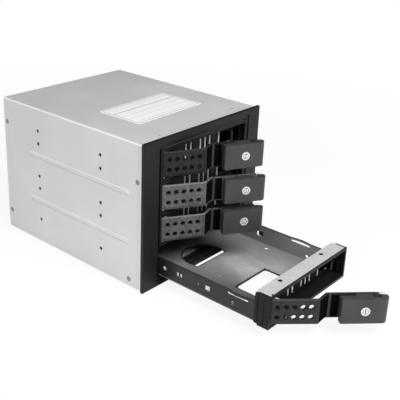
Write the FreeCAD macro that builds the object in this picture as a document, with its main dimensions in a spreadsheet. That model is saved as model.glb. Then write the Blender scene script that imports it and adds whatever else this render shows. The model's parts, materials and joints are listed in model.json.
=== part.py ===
# Hot swap drive cage: four 3.5 inch drive trays in three 5.25 inch bays.
# X runs right seen from the front, -Y is the front, +Z is up, in millimetres.
# The origin is the middle of the steel body's underside.
import FreeCAD, Part
import os
import re

import Sketcher
from FreeCAD import Placement, Rotation, Vector

# Driving dimensions, one cell of the sheet each.
SIZES = {
    # steel body
    "body_width": 146.0,
    "body_height": 127.0,
    "body_depth": 174.0,
    "sheet_thick": 1.0,
    "bend_radius": 1.6,
    "flange_wide": 9.0,
    "bay_hole_radius": 1.6,
    "bay_hole_first": 47.4,
    "bay_hole_spacing": 79.25,
    "low_hole_height": 21.8,
    "middle_hole_height": 52.3,
    "middle_hole_rise": 11.8,
    "top_hole_height": 94.6,
    "top_hole_rise": 11.8,
    "low_rib_height": 40.0,
    "high_rib_height": 83.0,
    "rib_start": 14.0,
    "rib_length": 127.0,
    "rib_wide": 5.0,
    "rib_slope": 1.3,
    "rib_proud": 0.6,
    "body_screw_radius": 2.3,
    "body_screw_shank": 1.4,
    "body_screw_length": 4.0,
    "front_screw_inset": 5.0,
    "front_screw_drop": 32.0,
    "foot_screw_inset": 14.0,
    "foot_screw_height": 6.0,
    "rear_screw_inset": 4.0,
    "rear_screw_low": 17.4,
    "rear_screw_drop": 22.0,
    # clearances
    "seat_gap": 0.3,
    "pin_play": 0.05,
    "bay_play": 0.5,
    # bezel
    "bezel_overhang": 1.0,
    "bezel_below": 1.3,
    "bezel_above": 1.2,
    "bezel_thick": 3.0,
    "bezel_round": 0.8,
    "step_wide": 3.0,
    "step_deep": 1.0,
    "collar_deep": 6.0,
    "collar_thick": 2.0,
    "tab_wide": 14.0,
    "tab_deep": 11.0,
    "tab_thick": 3.0,
    # bays and guides
    "bay_floor": 6.8,
    "bay_roof": 7.0,
    "tray_gap": 0.5,
    "guide_thick": 2.5,
    "guide_rear": 76.0,
    "ledge_wide": 3.2,
    "ledge_high": 2.4,
    "boss_radius": 4.0,
    "boss_inset": 24.0,
    "boss_low_height": 38.5,
    "boss_high_drop": 32.0,
    "guide_vent_start": 40.0,
    "guide_vent_pitch": 38.0,
    "guide_vent_long": 28.0,
    "guide_vent_lift": 10.0,
    "guide_vent_high": 8.5,
    # tray front frame and its bracket
    "frame_width": 110.0,
    "frame_deep": 13.0,
    "frame_side": 2.0,
    "frame_skin": 1.6,
    "frame_back": 1.2,
    "bracket_thick": 0.8,
    "bracket_setback": 1.0,
    "bracket_hole_spread": 58.5,
    "bracket_hole_inset": 9.6,
    "bracket_hole_radius": 1.5,
    "slot_wide": 3.8,
    "slot_high": 16.0,
    "slot_pitch": 6.2,
    "slot_shift": 7.0,
    "groove_wide": 0.9,
    "groove_deep": 0.5,
    "groove_front": 4.8,
    "groove_rear": 10.0,
    "cheek_notch_long": 3.2,
    "cheek_notch_high": 1.2,
    "catch_wide": 1.6,
    "catch_high": 8.0,
    "catch_lip_deep": 1.6,
    "catch_reach": 6.8,
    # tray pan
    "pan_inset": 1.0,
    "pan_lift": 0.9,
    "pan_thick": 1.0,
    "pan_wall_high": 17.6,
    "pan_length": 138.4,
    "spring_start": 20.5,
    "far_spring_start": 34.0,
    "spring_long": 19.0,
    "spring_high": 2.1,
    "spring_bow": 1.2,
    "spring_slit": 1.5,
    "d_hole_radius": 19.6,
    "d_hole_offset": -1.6,
    "d_hole_from_front": 105.5,
    "d_hole_flat": 8.5,
    "window_wide": 39.5,
    "window_long": 34.5,
    "window_round": 3.0,
    "window_offset": -4.2,
    "rim_wide": 2.0,
    "rim_deep": 0.5,
    "window_from_front": 18.5,
    "drive_length": 146.1,
    "drive_hole_spread": 95.25,
    "drive_hole_spacing": 44.45,
    "drive_hole_from_rear": 41.28,
    "drive_hole_radius": 1.9,
    "floor_dot_offset": 18.4,
    "floor_dot_radius": 1.1,
    "wall_row_height": 10.2,
    "wall_spot_place": 105.0,
    "wall_spot_radius": 1.8,
    "wall_slot_place": 87.4,
    "wall_slot_pitch": 3.6,
    "wall_slot_long": 2.4,
    "wall_slot_high": 3.6,
    "wall_dot_place": 69.5,
    "wall_dot_radius": 0.9,
    "wall_square_place": 59.8,
    "wall_square_long": 5.0,
    "wall_square_high": 4.4,
    "wall_screw_place": 34.6,
    "wall_screw_height": 7.4,
    "far_square_place": 86.0,
    "far_square_long": 7.0,
    "far_square_high": 5.0,
    "far_tab_long": 6.2,
    "far_tab_play": 0.4,
    "far_tab_turn": 9.0,
    "far_screw_place": 36.0,
    "far_screw_height": 5.9,
    "far_screw_radius": 1.4,
    # lever
    "lever_gap": 1.0,
    "lever_proud": 1.0,
    "lever_deep": 10.9,
    "panel_thick": 2.6,
    "panel_long": 37.5,
    "ramp_long": 8.0,
    "neck_long": 9.0,
    "plate_thick": 2.0,
    "plate_corner": 4.0,
    "vent_radius": 2.0,
    "vent_pitch": 6.4,
    "vent_row_gap": 8.6,
    "band_high": 2.8,
    "band_deep": 1.2,
    "neck_window_wide": 4.5,
    "neck_window_margin": 2.6,
    "neck_window_deep": 1.2,
    "hinge_pin_radius": 1.0,
    # latch block and lock
    "block_long": 36.5,
    "block_thin": 5.9,
    "block_grip_long": 12.0,
    "block_round": 4.6,
    "block_edge": 1.6,
    "latch_pin_inset": 8.5,
    "latch_pin_radius": 1.0,
    "ear_radius": 2.4,
    "ear_high": 2.5,
    "ear_play": 0.5,
    "hook_thick": 2.9,
    "hook_root": 2.4,
    "hook_reach": 1.6,
    "hook_barb": 1.0,
    "hook_barb_long": 2.3,
    "hook_play": 1.4,
    "block_ease": 1.7,
    "lock_inset": 18.5,
    "lock_radius": 3.5,
    "lock_rim": 0.6,
    "lock_barrel": 3.0,
    "lock_pocket": 6.2,
    "cam_long": 5.4,
    "cam_wide": 3.2,
    "cam_thick": 1.6,
    "key_wide": 0.9,
    "key_long": 3.6,
    "key_deep": 2.6,
    # light pipes
    "pipe_radius": 1.4,
    "pipe_gap": 1.5,
    "pipe_wide": 1.6,
    "pipe_high": 1.8,
    "pipe_space": 0.6,
    "pipe_low": 8.0,
    "pipe_play": 0.2,
    # rear of the cage
    "board_front": 76.6,
    "board_thick": 1.6,
    "board_side_gap": 7.0,
    "board_low": 6.5,
    "socket_long": 42.0,
    "socket_high": 5.6,
    "socket_deep": 6.0,
    "socket_lift": 1.2,
    "socket_wall": 2.0,
    "socket_offset": -19.0,
    "air_slot_long": 37.0,
    "air_slot_high": 11.3,
    "air_slot_lift": 13.0,
    "air_slot_offset": 32.0,
    "port_wide": 5.6,
    "port_high": 14.5,
    "port_wall": 2.0,
    "port_base": 3.0,
    "port_proud": 2.0,
    "port_offset": -32.0,
    "inlet_wide": 10.0,
    "inlet_high": 22.0,
    "inlet_wall": 1.0,
    "inlet_side": 14.0,
    "inlet_pin_radius": 1.0,
    "cutout_play": 0.5,
    "standoff_radius": 2.6,
    "standoff_inset": 5.5,
    "fan_deep": 25.0,
    "fan_side": 44.0,
    "fan_hole_spacing": 71.5,
    "fan_hole_inset": 4.25,
    "fan_bore_radius": 38.0,
    "fan_flange": 3.6,
    "fan_corner_skin": 2.84,
    "fan_fixing_radius": 2.1,
    "strut_wide": 4.0,
    "strut_deep": 2.2,
    "motor_seat_deep": 4.3,
    "hub_radius": 16.5,
    "hub_deep": 17.0,
    "hub_front_gap": 2.8,
    "shaft_radius": 1.5,
    "shaft_long": 10.2,
    "blade_tip_play": 1.0,
    "blade_thick": 1.4,
    "blade_root_reach": 7.4,
    "blade_root_sweep": 5.6,
    "blade_tip_reach": 5.0,
    "blade_tip_sweep": 11.0,
    "guard_thick": 1.2,
    "guard_wire": 1.8,
    "guard_arm_wide": 2.4,
    "guard_eye_radius": 4.2,
    "fan_screw_radius": 2.0,
    "fan_head_radius": 3.4,
    "fan_head_high": 1.8,
    # how far each tray is pulled out and each lever is open, tray 1 on top
    "tray_1_pull": 0.0,
    "tray_2_pull": 0.0,
    "tray_3_pull": 0.0,
    "tray_4_pull": 110.5,
    "lever_1_open": 27.0,
    "lever_2_open": 31.5,
    "lever_3_open": 31.5,
    "lever_4_open": 44.5,
}

BAYS = ("1", "2", "3", "4")
LEVELS = range(len(BAYS))
SIDES = (-1, 1)
SLOT_COLUMNS = (-3, -2, 0, 1, 2, 4)
INLET_LEVELS = (1, 2)
VENT_COLUMNS = range(5)
FAN_BLADES = 7
GUARD_RINGS = 4

# Places that follow from the driving dimensions.
PLACES = {
    "half_width": "body_width / 2",
    "inner_half": "body_width / 2 - sheet_thick",
    "front_edge": "-body_depth / 2",
    "rear_edge": "body_depth / 2",
    "bezel_front": "front_edge - bezel_thick",
    "bezel_half": "half_width + bezel_overhang",
    "opening_half": "frame_width / 2 + bay_play",
    "opening_low": "bay_floor - bay_play",
    "opening_high": "body_height - bay_roof - opening_low",
    "bay_pitch": f"(opening_high - 2 * bay_play + tray_gap) / {len(BAYS)}",
    "frame_height": "bay_pitch - tray_gap",
    "web_back": "frame_deep + bracket_thick",
    "pan_half": "frame_width / 2 - pan_inset",
    "bracket_half": "frame_width / 2 - frame_side",
    "floor_top": "pan_lift + pan_thick",
    "wall_top": "pan_lift + pan_wall_high",
    "drive_front": "web_back + 0.5 * seat_gap",
    "drive_rear": "drive_front + drive_length",
    "cavity_low": "bracket_thick + frame_skin",
    "cavity_high": "frame_height - 2 * cavity_low",
    "back_face": "frame_deep - frame_back",
    "frame_middle": "frame_height / 2",
    "pivot_x": "-frame_width / 2 + frame_side + seat_gap + panel_thick",
    "pivot_y": "panel_thick - lever_proud",
    "lever_high": "cavity_high - 2 * lever_gap",
    "lever_low": "frame_middle - lever_high / 2",
    "catch_x": "pivot_x + (barb_x ^ 2 + hook_tip ^ 2) ^ 0.5 + seat_gap",
    "post_x": "catch_x + hook_barb",
    "pocket_start": "post_x + catch_wide + seat_gap",
    "pocket_long": "bracket_half - bracket_thick - pocket_start",
    "port_start": "-pan_half + pan_thick",
    "pipe_end": "web_back + pan_length - pan_thick",
    "hook_pocket_start": "pivot_x + block_end - hook_thick - hook_play",
    # from here on, measured from the lever's hinge
    "arm_front": "-panel_thick",
    "arm_rear": "lever_deep - panel_thick",
    "plate_front": "arm_rear - plate_thick",
    "panel_end": "panel_long - panel_thick",
    "ramp_end": "panel_end + ramp_long",
    "ramp_shift": "0.45 * plate_thick",
    "block_start": "ramp_end + neck_long",
    "block_end": "block_start + block_long",
    "block_rear": "plate_front - seat_gap",
    "latch_x": "block_end - latch_pin_inset",
    "latch_y": "block_rear - ear_radius + ear_play",
    "plate_end": "block_end - hook_thick - 4 * seat_gap",
    "lock_x": "block_start + lock_inset",
    "hook_tip": "plate_front + hook_reach",
    "barb_x": "block_end + hook_barb",
    # rear of the cage, in the frame of the whole part
    "board_rear": "board_front + board_thick",
    "board_width": "body_width - 2 * board_side_gap",
    "board_height": "body_height - 2 * board_low",
    "panel_front": "rear_edge - sheet_thick",
    "inlet_offset": "inlet_side - board_width / 2",
    "fan_size": "fan_hole_spacing + 2 * fan_hole_inset",
    "fan_corner": "fan_hole_spacing / 2 ^ 0.5 + fan_corner_skin",
    "fan_middle": "body_height / 2",
    "fan_offset": "half_width - fan_side",
    "fan_rear": "rear_edge + fan_deep",
    "guard_rear": "fan_rear + guard_thick",
    "motor_seat": "fan_rear - motor_seat_deep",
    "rotor_start": "rear_edge + hub_front_gap",
    "rotor_middle": "rotor_start + hub_deep / 2",
    "blade_tip": "fan_bore_radius - blade_tip_play",
}

os.makedirs("parts", exist_ok=True)
doc = FreeCAD.newDocument("drive_cage")
sheet = doc.addObject("Spreadsheet::Sheet", "Sizes")
for row, (alias, number) in enumerate(SIZES.items(), start=1):
    sheet.set(f"A{row}", alias)
    sheet.set(f"B{row}", str(number))
    sheet.setAlias(f"B{row}", alias)
doc.recompute()

NODES = []


def formula(text):
    """Spell out a formula on sizes and places as an expression on the sheet."""

    def spell(match):
        name = match.group()
        if name in PLACES:
            return "(" + formula(PLACES[name]) + ")"
        return "Sizes." + name if name in SIZES else name

    return re.sub(r"[A-Za-z_]\w*", spell, str(text))


def value(text):
    """Work out a formula as a number."""
    return float(sheet.evalExpression(formula(text)))


def bind(thing, **formulas):
    """Bind properties to formulas; a double underscore stands for a dot."""
    for name, text in formulas.items():
        thing.setExpression(name.replace("__", "."), formula(text))
    return thing


def at(thing, x="0", y="0", z="0"):
    """Put a thing at a place given by three formulas."""
    return bind(thing, Placement__Base__x=x, Placement__Base__y=y, Placement__Base__z=z)


def box(name, x, y, z, length, width, height):
    """Return a box from its low corner and its size along X, Y and Z."""
    block = bind(doc.addObject("Part::Box", name), Length=length, Width=width, Height=height)
    return at(block, x, y, z)


def rod(name, axis, x, y, z, radius, length):
    """Return a cylinder that starts at a point and runs along +X, +Y or +Z."""
    bar = bind(doc.addObject("Part::Cylinder", name), Radius=radius, Height=length)
    turn = {"X": Rotation(Vector(0, 1, 0), 90), "Y": Rotation(Vector(1, 0, 0), -90), "Z": Rotation()}[axis]
    bar.Placement = Placement(Vector(), turn)
    return at(bar, x, y, z)


def group(name, solids):
    """Return separate solids as one object."""
    together = doc.addObject("Part::Compound", name)
    together.Links = list(solids)
    return together


def merge(name, solids):
    """Return the union of several solids."""
    union = doc.addObject("Part::MultiFuse", name)
    union.Shapes = list(solids)
    return union


def without(name, solid, tools):
    """Return a solid with tools cut out of it; the tools don't overlap each other."""
    cut = doc.addObject("Part::Cut", name)
    cut.Base = solid
    cut.Tool = tools[0] if len(tools) == 1 else group(f"{name}_tools", tools)
    return cut


def within(name, solid, limit):
    """Return what two solids have in common."""
    shared = doc.addObject("Part::Common", name)
    shared.Base = solid
    shared.Tool = limit
    return shared


def node(label, solid):
    """Keep an object as a sub-part under its label."""
    solid.Label = label
    NODES.append(solid)
    return solid


def sketch_on(body, name, role, offset="0"):
    """Return a sketch on one of the body's origin planes, moved along its normal."""
    sketch = body.newObject("Sketcher::SketchObject", name)
    plane = next(feature for feature in body.Origin.OriginFeatures if feature.Role == role)
    sketch.AttachmentSupport = [(plane, "")]
    sketch.MapMode = "FlatFace"
    return bind(sketch, AttachmentOffset__Base__z=offset)


def outline(sketch, corners):
    """Draw a closed outline whose corners are held by pairs of formulas."""
    points = [Vector(value(x), value(y), 0) for x, y in corners]
    count = len(points)
    for number, point in enumerate(points):
        sketch.addGeometry(Part.LineSegment(point, points[(number + 1) % count]), False)
    for number in range(count):
        sketch.addConstraint(Sketcher.Constraint("Coincident", number, 2, (number + 1) % count, 1))
    for number, (x, y) in enumerate(corners):
        for kind, text, size in (("DistanceX", x, points[number].x), ("DistanceY", y, points[number].y)):
            held = sketch.addConstraint(Sketcher.Constraint(kind, -1, 1, number, 1, size))
            sketch.setExpression(f"Constraints[{held}]", formula(text))
    return sketch


def pad(body, name, sketch, length):
    """Pad a sketch of a body along its normal."""
    solid = body.newObject("PartDesign::Pad", name)
    solid.Profile = sketch
    bind(solid, Length=length)
    body.Tip = solid
    doc.recompute()
    return solid


def edges_through(feature, points):
    """Return the names of the straight edges that pass through the given points."""
    names = []
    for number, edge in enumerate(feature.Shape.Edges, start=1):
        if any(edge.distToShape(Part.Vertex(point))[0] < 0.01 for point in points):
            names.append(f"Edge{number}")
    return names


def rounded(body, name, base, points, radius):
    """Fillet the edges of a body's feature that pass through the given points."""
    fillet = body.newObject("PartDesign::Fillet", name)
    fillet.Base = (base, edges_through(base, points))
    bind(fillet, Radius=radius)
    body.Tip = fillet
    doc.recompute()
    return fillet


def channel(name, half, foot, outer, inner, thick, start, length, radius):
    """Return a sheet folded into a channel along Y, with rounded bends."""
    body = doc.addObject("PartDesign::Body", name)
    inside = f"{half} - {thick}"
    section = outline(
        sketch_on(body, f"{name}_section", "XZ_Plane", f"-({start} + {length})"),
        [
            (f"-({half})", foot), (f"-({half})", outer), (half, outer), (half, foot),
            (inside, foot), (inside, inner), (f"-({inside})", inner), (f"-({inside})", foot),
        ],
    )
    fold = pad(body, f"{name}_fold", section, length)
    middle = value(f"{start} + ({length}) / 2")
    corners = [Vector(side * value(half), middle, value(outer)) for side in SIDES]
    bends = rounded(body, f"{name}_bends", fold, corners, radius)
    corners = [Vector(side * value(inside), middle, value(inner)) for side in SIDES]
    rounded(body, f"{name}_inner_bends", bends, corners, f"{radius} - 0.7 * {thick}")
    return body


def in_tray(solid, number):
    """Place a solid that is drawn from its tray's front face and bay floor."""
    level = len(BAYS) - int(number)
    return at(solid, "0", f"bezel_front - tray_{number}_pull", f"bay_floor + {level} * bay_pitch")


def in_lever(solid, number):
    """Place a solid that is drawn from its lever's hinge, at the lever's open angle."""
    level = len(BAYS) - int(number)
    solid.Placement = Placement(Vector(), Rotation(Vector(0, 0, -1), 10))
    bind(solid, Placement__Rotation__Angle=f"lever_{number}_open")
    front = f"bezel_front - tray_{number}_pull + pivot_y"
    return at(solid, "pivot_x", front, f"bay_floor + {level} * bay_pitch")


# Steel body: top and sides in one folded sheet

def side_hole_places():
    """Return the (y, z) formulas of the bay screw holes in one side wall."""
    heights = ("low_hole_height", "middle_hole_height", "middle_hole_height + middle_hole_rise",
               "top_hole_height", "top_hole_height + top_hole_rise")
    columns = ("front_edge + bay_hole_first", "front_edge + bay_hole_first + bay_hole_spacing")
    return [(column, height) for column in columns for height in heights]


def body_screw_places():
    """Return the (y, z) formulas of the small screws in one side wall."""
    return [
        ("front_edge + front_screw_inset", "body_height - front_screw_drop"),
        ("front_edge + foot_screw_inset", "foot_screw_height"),
        ("rear_edge - rear_screw_inset", "rear_screw_low"),
        ("rear_edge - rear_screw_inset", "body_height - rear_screw_drop"),
    ]


def rib(name, side, height):
    """Return one long embossed rib with sloped flanks and round ends, standing out of a side wall."""
    wall = f"{side} * half_width"
    start = "front_edge + rib_start + rib_wide / 2"
    straight = "rib_length - rib_wide"
    bar = doc.addObject("Part::Wedge", f"{name}_bar")
    bind(bar, Xmin="0", Xmax=straight, X2min="0", X2max=straight, Ymin="0", Ymax="rib_proud", Zmin="0",
         Zmax="rib_wide", Z2min="rib_slope", Z2max="rib_wide - rib_slope")
    bar.Placement = Placement(Vector(), Rotation(Vector(0, 0, 1), -90 * side))
    at(bar, wall, f"{start} + {straight}" if side > 0 else start, f"{height} - rib_wide / 2")
    ends = []
    for number, y in enumerate((start, f"{start} + {straight}")):
        end = bind(doc.addObject("Part::Cone", f"{name}_end_{number}"), Radius1="rib_wide / 2",
                   Radius2="rib_wide / 2 - rib_slope", Height="rib_proud")
        end.Placement = Placement(Vector(), Rotation(Vector(0, 1, 0), 90 * side))
        ends.append(at(end, wall, y, height))
    return merge(name, [bar] + ends)


shell_fold = channel("shell_fold", "half_width", "0", "body_height", "body_height - sheet_thick",
                     "sheet_thick", "front_edge", "body_depth", "bend_radius")
ribs = [rib(f"rib_{side + 1}_{number}", side, height)
        for side in SIDES for number, height in enumerate(("low_rib_height", "high_rib_height"))]
shell_tools = []
for number, (y, z) in enumerate(side_hole_places()):
    shell_tools.append(rod(f"bay_hole_{number}", "X", "-half_width - 1", y, z, "bay_hole_radius",
                           "body_width + 2"))
for number, (y, z) in enumerate(body_screw_places()):
    shell_tools.append(rod(f"body_screw_hole_{number}", "X", "-half_width - 1", y, z,
                           "body_screw_radius + pin_play", "body_width + 2"))
node("body_shell", without("shell_cut", merge("shell_with_ribs", [shell_fold] + ribs), shell_tools))

floor_fold = channel("floor_fold", "inner_half", "sheet_thick + flange_wide", "0", "sheet_thick",
                     "sheet_thick", "front_edge", "body_depth - sheet_thick", "bend_radius")
node("bottom_plate", without("floor_cut", floor_fold, [
    rod("foot_screw_hole", "X", "-half_width - 1", *body_screw_places()[1],
        "body_screw_shank + pin_play", "body_width + 2"),
]))

screws = []
for number, (y, z) in enumerate(body_screw_places()):
    for side in SIDES:
        name = f"body_screw_{number}_{side + 1}"
        head = "inner_half" if side > 0 else "-half_width"
        shank = "inner_half - body_screw_length" if side > 0 else "-inner_half"
        screws.append(merge(name, [
            rod(f"{name}_head", "X", head, y, z, "body_screw_radius", "sheet_thick"),
            rod(f"{name}_shank", "X", shank, y, z, "body_screw_shank", "body_screw_length"),
        ]))
node("body_screws", group("body_screw_set", screws))


# Bezel: a face plate with a stepped opening, a collar behind it and four screw tabs

def bezel_plate():
    """Return the bezel's outer plate with its rounded front edge."""
    body = doc.addObject("PartDesign::Body", "bezel_plate")
    half = "bezel_half"
    top = "body_height + bezel_above"
    face = outline(sketch_on(body, "bezel_outline", "XZ_Plane", "-front_edge"),
                   [(f"-{half}", "-bezel_below"), (f"-{half}", top), (half, top), (half, "-bezel_below")])
    plate = pad(body, "bezel_pad", face, "bezel_thick")
    low, high, side = value("-bezel_below"), value(top), value(half)
    front, middle = value("bezel_front"), value(f"({top} - bezel_below) / 2")
    edges = [Vector(0, front, low), Vector(0, front, high), Vector(-side, front, middle),
             Vector(side, front, middle)]
    rounded(body, "bezel_rounding", plate, edges, "bezel_round")
    return body


def bezel_tab(name, side):
    """Return the tab behind the bezel that a front body screw goes into."""
    x = "inner_half - tab_thick" if side > 0 else "-inner_half"
    y, z = body_screw_places()[0]
    tab = box(f"{name}_block", x, "front_edge", f"{z} - tab_wide / 2", "tab_thick", "tab_deep", "tab_wide")
    return without(name, tab, [
        rod(f"{name}_hole", "X", f"{x} - 1", y, z, "body_screw_shank + pin_play", "tab_thick + 2"),
    ])


collar = box("collar", "-opening_half - collar_thick", "front_edge - 0.5 * bezel_thick",
             "opening_low - collar_thick",
             "2 * (opening_half + collar_thick)", "collar_deep + 0.5 * bezel_thick",
             "opening_high + 2 * collar_thick")
bezel_tabs = [bezel_tab(f"bezel_tab_{side + 1}", side) for side in SIDES]
bezel_solid = merge("bezel_solid", [bezel_plate(), collar] + bezel_tabs)
bezel_open = merge("bezel_open", [
    box("opening_cut", "-opening_half", "bezel_front - 1", "opening_low", "2 * opening_half",
        "bezel_thick + collar_deep + 2", "opening_high"),
    box("step_cut", "-opening_half - step_wide", "bezel_front - 1", "opening_low - step_wide",
        "2 * (opening_half + step_wide)", "step_deep + 1", "opening_high + 2 * step_wide"),
])
node("front_bezel", without("bezel_cut", bezel_solid, [bezel_open]))


# Guides: a wall each side with a ledge under each pan, on bosses that reach the side walls

def guide_left():
    """Return the left guide, whose inner face lines up with the bezel's opening."""
    start = "front_edge + collar_deep"
    long = f"guide_rear - ({start})"
    low = "opening_low - collar_thick"
    wall = box("guide_wall", "-opening_half - guide_thick", start, low, "guide_thick", long,
               "opening_high + 2 * collar_thick")
    pieces = [wall]
    ledge_start = "bezel_front + web_back + seat_gap"
    for level in LEVELS:
        top = f"bay_floor + {level} * bay_pitch + pan_lift - seat_gap"
        pieces.append(box(f"guide_ledge_{level}", "-opening_half", ledge_start, f"{top} - ledge_high",
                          "ledge_wide", f"guide_rear - ({ledge_start})", "ledge_high"))
    boss_long = "inner_half - opening_half - guide_thick"
    for number, y in enumerate((f"{start} + boss_inset", "guide_rear - boss_inset")):
        for high, z in enumerate(("boss_low_height", "body_height - boss_high_drop")):
            pieces.append(rod(f"guide_boss_{number}_{high}", "X", "-inner_half", y, z, "boss_radius",
                              boss_long))
    vents = []
    for level in LEVELS:
        for number in range(3):
            y = f"{start} + guide_vent_start + {number} * guide_vent_pitch"
            z = f"bay_floor + {level} * bay_pitch + guide_vent_lift"
            vents.append(box(f"guide_vent_{level}_{number}", "-opening_half - guide_thick - 1", y, z,
                             "guide_thick + 2", "guide_vent_long", "guide_vent_high"))
    return without("guide_left_cut", merge("guide_left_solid", pieces), vents)


left_guide = node("guide_rail_left", guide_left())
right_guide = doc.addObject("Part::Mirroring", "guide_right")
right_guide.Source = left_guide
right_guide.Normal = Vector(1, 0, 0)
node("guide_rail_right", right_guide)


# Tray pan: a folded sheet with bowed leaf springs, drive screw holes and floor cut-outs

def leaf_spring(name, side, start):
    """Return the strip of a wall's top edge that bows outwards as an arc."""
    sweep = "((spring_long / 2) ^ 2 + spring_bow ^ 2) / (2 * spring_bow)"
    middle = f"{start} + spring_long / 2"
    z = "wall_top - spring_high"
    x = f"{side} * (pan_half + spring_bow - ({sweep}))"
    arc = without(f"{name}_arc", rod(f"{name}_outer", "Z", x, middle, z, sweep, "spring_high"), [
        rod(f"{name}_inner", "Z", x, middle, f"{z} - 1", f"{sweep} - pan_thick", "spring_high + 2"),
    ])
    low = "pan_half - pan_thick - 1" if side > 0 else "-pan_half - spring_bow - 1"
    keep = box(f"{name}_keep", low, start, z, "pan_thick + spring_bow + 2", "spring_long", "spring_high")
    return within(name, arc, keep)


def wall_hole(name, side, y, z, long, high):
    """Return a tool that cuts a rectangular hole through one side wall of the pan."""
    x = "pan_half - pan_thick - 1" if side > 0 else "-pan_half - 1"
    return box(name, x, f"{y} - ({long}) / 2", f"{z} - ({high}) / 2", "pan_thick + 2", long, high)


def wall_bore(name, side, y, z, radius):
    """Return a tool that cuts a round hole through one side wall of the pan."""
    x = "pan_half - pan_thick - 1" if side > 0 else "-pan_half - 1"
    return rod(name, "X", x, y, z, radius, "pan_thick + 2")


def d_hole():
    """Return the tool for the D-shaped floor hole with a pressed rim round its arc."""
    disc = rod("d_hole_disc", "Z", "d_hole_offset", "d_hole_from_front", "pan_lift - 1", "d_hole_radius",
               "pan_thick + 2")
    rim = bind(doc.addObject("Part::Cone", "d_hole_rim"), Radius1="d_hole_radius",
               Radius2="d_hole_radius + 2 * rim_wide", Height="2 * rim_deep")
    at(rim, "d_hole_offset", "d_hole_from_front", "floor_top - rim_deep")
    reach = "(d_hole_radius + 2 * rim_wide)"
    half = box("d_hole_half", f"d_hole_offset - {reach}", "d_hole_from_front - d_hole_flat", "pan_lift - 1",
               f"2 * {reach}", f"d_hole_flat + {reach}", "pan_thick + 2")
    return within("d_hole", merge("d_hole_round", [disc, rim]), half)


def floor_window():
    """Return the tool for the floor window with its rounded corners and pressed rim."""
    body = doc.addObject("PartDesign::Body", "window_plan")
    left, right = "window_offset - window_wide / 2", "window_offset + window_wide / 2"
    front, rear = "window_from_front", "window_from_front + window_long"
    plan = outline(sketch_on(body, "window_outline", "XY_Plane", "pan_lift - 1"),
                   [(left, front), (right, front), (right, rear), (left, rear)])
    prism = pad(body, "window_pad", plan, "pan_thick + 2")
    corners = [Vector(value(x), value(y), value("pan_lift")) for x in (left, right) for y in (front, rear)]
    rounded(body, "window_corners", prism, corners, "window_round")
    rim = doc.addObject("Part::Wedge", "window_rim")
    bind(rim, Xmin="0", Xmax="window_wide", X2min="-2 * rim_wide", X2max="window_wide + 2 * rim_wide",
         Zmin="0", Zmax="window_long", Z2min="-2 * rim_wide", Z2max="window_long + 2 * rim_wide",
         Ymin="0", Ymax="2 * rim_deep")
    rim.Placement = Placement(Vector(), Rotation(Vector(1, 0, 0), 90))
    return merge("floor_window", [body, at(rim, left, rear, "floor_top - rim_deep")])


def pan_form():
    """Return one tray pan, drawn from its tray's front face and bay floor."""
    fold = channel("pan_fold", "pan_half", "wall_top", "pan_lift", "floor_top", "pan_thick",
                   "web_back", "pan_length", "bend_radius")
    starts = {-1: "spring_start", 1: "far_spring_start"}
    spring_gap = [wall_hole(f"spring_gap_{side + 1}", side, f"{start} + spring_long / 2",
                            "wall_top - (spring_high + spring_slit) / 2", "spring_long",
                            "spring_high + spring_slit + 0.001") for side, start in starts.items()]
    plate = without("pan_slit", fold, spring_gap)
    springs = [leaf_spring(f"leaf_spring_{side + 1}", side, start) for side, start in starts.items()]
    sprung = merge("pan_sprung", [plate] + springs)
    tools = [d_hole(), floor_window(),
             rod("floor_dot", "Z", "-floor_dot_offset",
                 "drive_rear - drive_hole_from_rear - drive_hole_spacing",
                 "pan_lift - 1", "floor_dot_radius", "pan_thick + 2")]
    for side in SIDES:
        for step in range(2):
            y = f"drive_rear - drive_hole_from_rear - {step} * drive_hole_spacing"
            tools.append(rod(f"drive_hole_{side + 1}_{step}", "Z", f"{side} * drive_hole_spread / 2", y,
                             "pan_lift - 1", "drive_hole_radius", "pan_thick + 2"))
    tools += [
        wall_bore("wall_spot", -1, "wall_spot_place", "wall_row_height", "wall_spot_radius"),
        wall_hole("wall_slot_1", -1, "wall_slot_place", "wall_row_height", "wall_slot_long",
                  "wall_slot_high"),
        wall_hole("wall_slot_2", -1, "wall_slot_place + wall_slot_pitch", "wall_row_height", "wall_slot_long",
                  "wall_slot_high"),
        wall_bore("wall_dot", -1, "wall_dot_place", "wall_row_height", "wall_dot_radius"),
        wall_hole("wall_square", -1, "wall_square_place", "wall_row_height", "wall_square_long",
                  "wall_square_high"),
        wall_bore("wall_screw", -1, "wall_screw_place", "wall_screw_height", "drive_hole_radius"),
        wall_hole("far_square", 1, "far_square_place", "wall_row_height", "far_square_long",
                  "far_square_high"),
        wall_bore("far_screw", 1, "far_screw_place", "far_screw_height", "far_screw_radius"),
    ]
    tab_high = "(far_square_high - 2 * far_tab_play)"
    tab = box("far_tab", "pan_half - pan_thick", "far_square_place - far_square_long / 2 - far_tab_play",
              f"wall_row_height - {tab_high} / 2", "pan_thick", "far_tab_long", tab_high)
    tab.Placement = Placement(Vector(), Rotation(Vector(0, 0, -1), 1))
    bind(tab, Placement__Rotation__Angle="far_tab_turn")
    return merge("pan_form", [without("pan_cut", sprung, tools), tab])


# Tray front: a moulded open box with a slotted back, and the sheet bracket wrapped round it

def pipe_port(name, y, deep):
    """Return the tool for the light pipes' way through a tray front's rear wall."""
    low = "pipe_low - 2 * pipe_play"
    return box(name, "port_start", y, low, "pipe_wide + 2 * pipe_play", deep,
               "2 * pipe_high + pipe_space + 4 * pipe_play")


def slot_tools(name, y, deep, high):
    """Return the tools for the row of upright air slots in a tray front's rear wall."""
    return [box(f"{name}_{column + 3}", f"slot_shift + {column} * slot_pitch - slot_wide / 2", y,
                f"frame_middle - ({high}) / 2", "slot_wide", deep, high) for column in SLOT_COLUMNS]


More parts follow.
